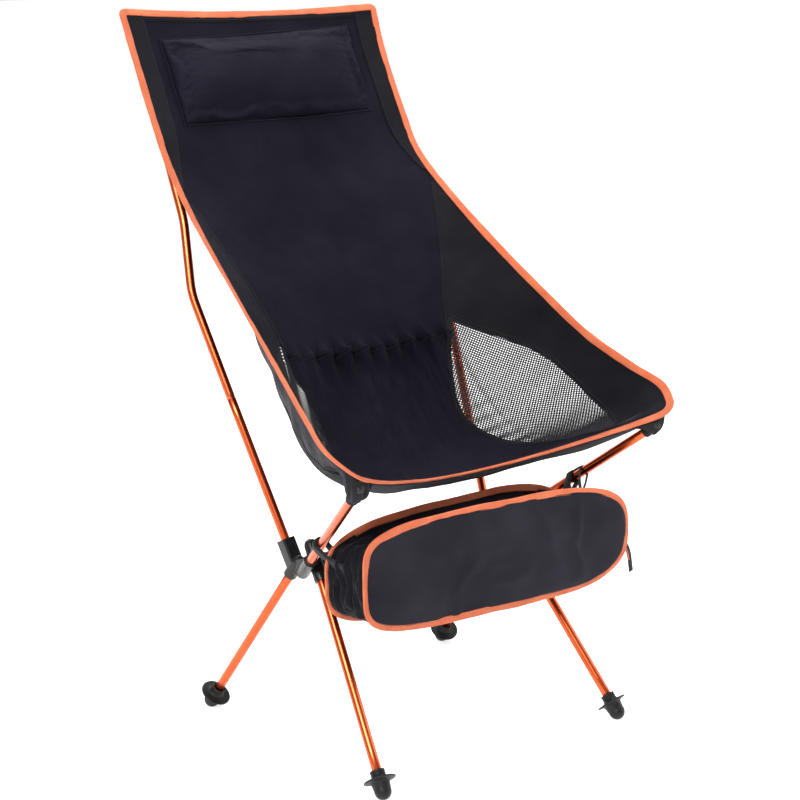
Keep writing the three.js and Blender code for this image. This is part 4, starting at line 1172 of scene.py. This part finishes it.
def make_pillow(looks):
    """A soft bolster in a sewn cover, blown up as cloth with its seam held on the sling."""
    rows, columns = 46, 112
    (tl, tr, br, bl) = (np.array(p) for p in PILLOW)
    a = np.linspace(0, 1, rows)[:, None, None]
    b = np.linspace(0, 1, columns)[None, :, None]
    uv = (tl * (1 - b) + tr * b) * (1 - a) + (bl * (1 - b) + br * b) * a
    u, v = uv[..., 0], uv[..., 1]
    base = sling_point(u, v)
    normal = sling_frame(u, v)[2]
    across, down = (2 * b - 1)[..., 0], (2 * a - 1)[..., 0]
    crown = (1 - np.abs(down) ** 2.2) ** 0.55 * (1 - np.abs(across) ** 6) ** 0.75
    tucks = np.cos(2 * np.pi * (down + 0.15 * crumple(base, 0.02, 1.0)) / 0.17)
    gather = np.exp(-(1 - np.abs(across)) / 0.10) * tucks
    crown = crown * (1 + 0.10 * gather + 0.10 * crumple(base, 0.045, 6.6))
    front = base + normal * (PILLOW_LIFT + PILLOW_RISE * crown)[..., None]
    back = base + normal * (PILLOW_LIFT - 0.0010)
    edge = np.zeros((rows, columns), bool)
    edge[[0, -1]] = True
    edge[:, [0, -1]] = True
    number = np.arange(rows * columns).reshape(rows, columns)
    behind = np.where(edge, number, -1)
    inner = np.argwhere(~edge)
    behind[~edge] = rows * columns + np.arange(len(inner))
    vertices = np.vstack([front.reshape(-1, 3), back[~edge]])

    def quads(n, flip):
        q = np.stack([n[:-1, :-1], n[:-1, 1:], n[1:, 1:], n[1:, :-1]], -1).reshape(-1, 4)
        return q[:, ::-1] if flip else q

    flat = np.stack(np.broadcast_arrays(b[..., 0] * PILLOW_FLAT[0], a[..., 0] * PILLOW_FLAT[1]), -1)
    faces = np.vstack([quads(number, False), quads(behind, True)])
    where = np.vstack([flat.reshape(-1, 2), flat[~edge]])
    pillow = piece("headrest_pillow_cover", vertices, faces.tolist(), looks["pillow"], "frame",
                   where[faces])
    held = np.concatenate([number[edge], np.arange(rows * columns, len(vertices))])
    settle(pillow, held, 0.02, 7.0, 0.010, frames=20, bending=0.6)
    smoother = pillow.modifiers.new("smooth", "SUBSURF")
    smoother.levels = smoother.render_levels = 1
    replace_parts(pillow, "headrest_pillow")

    # A flat flange with stitches round the cover, where it is sewn to the back.
    ring = np.concatenate([uv[0, :-1], uv[:-1, -1], uv[-1, :0:-1], uv[:0:-1, 0]])
    centre, normal = on_sling(ring[:, 0], ring[:, 1], 0.0016)
    closed = np.vstack([centre[-1:], centre, centre[:1]])
    across = unit(np.cross(unit(closed[2:] - closed[:-2]), normal))
    across *= np.sign((across * (centre - centre.mean(0))).sum())
    half = 0.0016
    section = [(-half, 0.0002), (0, 0.0004), (half, 0.0001), (half, -0.0008), (-half, -0.0008)]
    grid = np.stack([centre + across * s + normal * h for s, h in section], 1)
    surface("pillow_flange", grid, looks["pillow"], "frame", wrap_rows=True,
            wrap_columns=True)
    line = centre + normal * 0.0006 + across * 0.0008
    thread("pillow_stitches", np.vstack([line, line[:1]]), np.vstack([normal, normal[:1]]),
           looks["sewing_thread"], "frame", "pillow_cloth")


# ------------------------------------------------------------------ storage bag

def bag_point(face, angle):
    """A point on a bag panel's outline at an angle."""
    left, right = face["round"]
    bend = left + (right - left) * (1 + np.cos(angle)) / 2

    def power(value):
        return np.sign(value) * np.abs(value) ** bend

    x = face["half"][0] * power(np.cos(angle))
    up = face["half"][1] * power(np.sin(angle))
    cx, cy, cz = face["centre"]
    y = cy + x * face["turn"] + up * math.sin(face["lean"])
    return np.stack([cx + x, y, cz + up * math.cos(face["lean"])], -1) + SHIFT


def outline(face, start, end, count, inset=0.0):
    """Evenly spaced points and outward directions along an outline, between two angles."""
    shrunk = {**face, "half": [h - inset for h in face["half"]]}
    fine = bag_point(shrunk, np.linspace(start, end, 4000))
    points = along(fine, np.linspace(0, arc(fine)[-1], count))
    ahead = unit(np.gradient(points, axis=0))
    across = unit(np.cross(ahead, (0, 1, 0)))
    centre = np.array(face["centre"]) + SHIFT
    across *= np.sign(((points - centre) * across).sum(-1, keepdims=True))
    return points, across


def bag_panel(name, node, face, facing, look):
    """A panel with a soft crown and slanting folds; rows run from its lower outline to its upper one."""
    inset = 0.0018
    shrunk = {**face, "half": [h - inset for h in face["half"]]}
    columns, rows = 116, 44
    angle = math.pi * (1 - np.linspace(0.0, 1.0, columns))
    angle = angle + 0.12 * np.sin(2 * angle)
    low = bag_point(shrunk, -angle)
    high = bag_point(shrunk, angle)
    b = np.linspace(0.006, 0.994, rows)[:, None, None]
    grid = low * (1 - b) + high * b
    t = (2 * b - 1)[..., 0]
    s = np.cos(angle)[None]
    crown = np.sqrt(np.clip(1 - t ** 2, 0, 1)) * np.sqrt(np.clip(1 - s ** 6, 0, 1))
    soft = crumple(grid * (1, 1, 1.6), 0.095, 2.0) * 0.0075 + crumple(grid, 0.035, 5.0) * 0.0016
    sharp = np.clip(creases(grid @ SLANT, 0.10, 12.0) - 0.6, 0, 1) * 0.009
    lift = crown * (0.0065 + soft + sharp)
    grid = grid + np.array([0, facing, 0]) * lift[..., None]
    panel_piece = surface(name, grid, look, "storage_bag", BAG_CLOTH)
    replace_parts(panel_piece, node)
    cut(grid)


def bag_tape(name, node, face, looks):
    points, across = outline(face, 0, 2 * math.pi, 420)
    points, across = points[:-1], across[:-1]
    across[0] = unit(across[-1] + across[1])
    normal = np.broadcast_to((0.0, 1.0, 0.0), points.shape)
    points = points + across * (0.0016 * crumple(points, 0.06, face["half"][0] * 90))[:, None]
    widths = (BAG_TAPE_HALF - 0.0014, BAG_TAPE_HALF + 0.0014)
    tape = fold_tape(name, points, across, normal, widths, looks["tape"], "storage_bag", swell=0.0005,
                     seed=face["half"][1] * 40)
    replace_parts(tape, node)
    for tag, side in (("f", -1), ("b", 1)):
        path = points + across * (-BAG_TAPE_HALF + 0.0004) + normal * side * (TAPE_HALF + 0.0001)
        thread(f"{name}_stitches_{tag}", np.vstack([path, path[:1]]),
               np.vstack([normal, normal[:1]]) * side, looks["tape_thread"], "storage_bag", "binding_tape")


def make_bag(looks):
    bag_panel("bag_front_cloth", "bag_front_panel", BAG_FRONT, -1, looks["bag"])
    bag_panel("bag_rear_cloth", "bag_rear_panel", BAG_REAR, 1, looks["bag"])
    bag_tape("bag_front_tape", "bag_front_piping", BAG_FRONT, looks)
    bag_tape("bag_rear_tape", "bag_rear_piping", BAG_REAR, looks)

    # Gusset: slack cloth between the two tapes, gathered into upright folds at its ends.
    rows, columns = GUSSET_GRID
    start, end = math.pi - MOUTH, 2 * math.pi + MOUTH
    front = outline(BAG_FRONT, start, end, columns, 0.0022)[0]
    rear = outline(BAG_REAR, start, end, columns, 0.0022)[0]
    share = np.linspace(0.012, 0.988, rows)[:, None, None]
    grid = front * (1 - share) + rear * share
    inward = unit(np.array(BAG_FRONT["centre"]) + SHIFT - (front + rear) / 2)
    swell = np.sin(np.pi * share[..., 0]) ** 0.7
    ends = np.clip((np.abs((front + rear)[None, :, 0] / 2) - 0.12) / 0.06, 0, 1)
    wave = crumple(grid * (1, 2.4, 0.55), 0.026, 3.0) * 0.0085
    wave = wave + crumple(grid * (1, 1.8, 0.5), 0.012, 6.0) * 0.0028
    wander = 0.9 * crumple(grid * (1, 0.3, 0.7), 0.045, 1.0)
    pleats = 0.0030 * np.sin(2 * np.pi * (6.5 * share[..., 0] + wander))
    wave = (wave + pleats * ends) * (1 - 0.8 * np.clip(inward[:, 2], 0, 1))
    grid = grid + inward[None] * (swell * (wave * (0.35 + 0.65 * ends) + 0.0015))[..., None]
    torn = crumple(grid[:, [0, -1]], 0.022, 8.0) * swell
    fade = np.exp(-np.arange(columns) / 9.0)
    for edge, reach in zip(torn.T, (fade, fade[::-1])):
        grid[..., 2] += (0.016 * edge - 0.013 * swell[:, 0])[:, None] * reach
    gusset = surface("bag_gusset_cloth", grid, looks["bag_gusset"], "storage_bag")
    number = np.arange(rows * columns).reshape(rows, columns)
    held = np.concatenate([number[0], number[-1], number[:, 0], number[:, -1]])
    settle(gusset, held, 0.05, 0, 0.006, frames=18, bending=0.12)
    final = points_of(gusset, (rows, columns))
    thicken(gusset, BAG_CLOTH)
    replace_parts(gusset, "bag_gusset")
    cut(final)
    make_straps(looks)


def webbing(name, path, width, thickness, look, faces):
    """A flat strap: a rounded oblong section along a path, wide in the direction it faces."""
    width = np.broadcast_to(np.asarray(width, float), (len(path),))
    tangent = unit(np.gradient(path, axis=0))
    faces = np.broadcast_to(faces, path.shape)
    across = unit(faces - tangent * (faces * tangent).sum(-1, keepdims=True))
    out = np.cross(tangent, across)
    h = thickness / 2
    ring = [(-1, 0), (-0.95, h), (-0.4, h * 1.15), (0.4, h * 1.15), (0.95, h), (1, 0), (0.95, -h),
            (0.4, -h * 1.15), (-0.4, -h * 1.15), (-0.95, -h)]
    grid = np.stack([path + across * (a * width[:, None] / 2) + out * b for a, b in ring], 1)
    return surface(name, grid, look, "storage_bag", wrap_columns=True, caps=True)


def make_straps(looks):
    """Loops round the seat poles that carry the bag, a short free end on the right one, and the pull tab."""
    web = looks["strap_webbing"]
    for name, (tag, distance, width, thick, angle, share) in STRAPS.items():
        hub, tip = (right_side(p, 1 if tag == "R" else -1) for p in SEAT_POLE)
        axis = unit(tip - hub)
        centre = hub + axis * distance
        sewn = [bag_point(face, math.radians(angle)) for face in (BAG_REAR, BAG_FRONT)]
        landing = sewn[0] * (1 - share) + sewn[1] * share
        down = unit(landing - centre - axis * (axis @ (landing - centre)))
        over = np.cross(axis, down)
        turn = np.linspace(math.radians(75), math.radians(285), 40)[:, None]
        ring = centre + (LEG_TUBE[0] + 0.0004 + thick / 2) * (np.cos(turn) * down + np.sin(turn) * over)
        tails = []
        for end, sign in ((ring[0], 1), (ring[-1], -1)):
            halfway = end * 0.5 + landing * 0.5 + over * sign * 0.0022
            tails.append(smooth_line([end, halfway, landing + over * sign * 0.0012], 24))
        path = np.vstack([tails[0][:0:-1], ring, tails[1][1:]])
        path = along(path, np.linspace(0, arc(path)[-1], 120))
        fan = np.clip((np.abs(np.linspace(-1, 1, 120)) - 0.55) / 0.45, 0, 1) ** 1.5
        strap = webbing(name, path, width * (1 + 0.9 * fan), thick, web, axis)
        if width > 0.005:
            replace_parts(strap, f"bag_strap_{tag}")
        if name == "bag_strap_R_web":
            start = ring[len(ring) // 2]
            out = unit(start - centre)
            free = [start + out * a + axis * b for a, b in ((0, 0), (0.004, 0.005), (0.005, 0.014))]
            taper = width * np.linspace(0.8, 0.35, 16)
            webbing("bag_strap_R_free_end", smooth_line(free, 16), taper, 0.0012, web, over)

    # Pull tab at the right end of the gusset, with a thin strip of tape along its inner edge.
    run = smooth_line(np.array(PULL_TAB) + SHIFT, 30)
    tab = webbing("bag_tab_web", run, 0.0085, 0.0016, web, TAB_FACES)
    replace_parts(tab, "bag_pull_tab")
    webbing("bag_tab_tape", run[:22] + (-0.003, -0.0014, 0), 0.0022, 0.0009, looks["tape"], TAB_FACES)


# ------------------------------------------------------------------ everything

def make_looks():
    looks = {}
    for name, *values in CLOTHS:
        looks[name.removesuffix("_cloth")] = woven(name, *values)
    for make, kinds in ((braided, CORDS), (moulded, MOULDINGS)):
        for name, *values in kinds:
            looks[name] = make(name, *values)
    looks["tape"] = taped("edge_tape", (0.60, 0.125, 0.052), (0.72, 0.190, 0.084))
    looks["tube"] = anodised()
    looks["alloy"] = bare_alloy()
    return looks


def build():
    set_stage()
    looks = make_looks()
    make_frame(looks)
    make_sling(looks)
    make_front_valance(looks)
    make_pockets(looks)
    make_pillow(looks)
    make_bag(looks)


build()
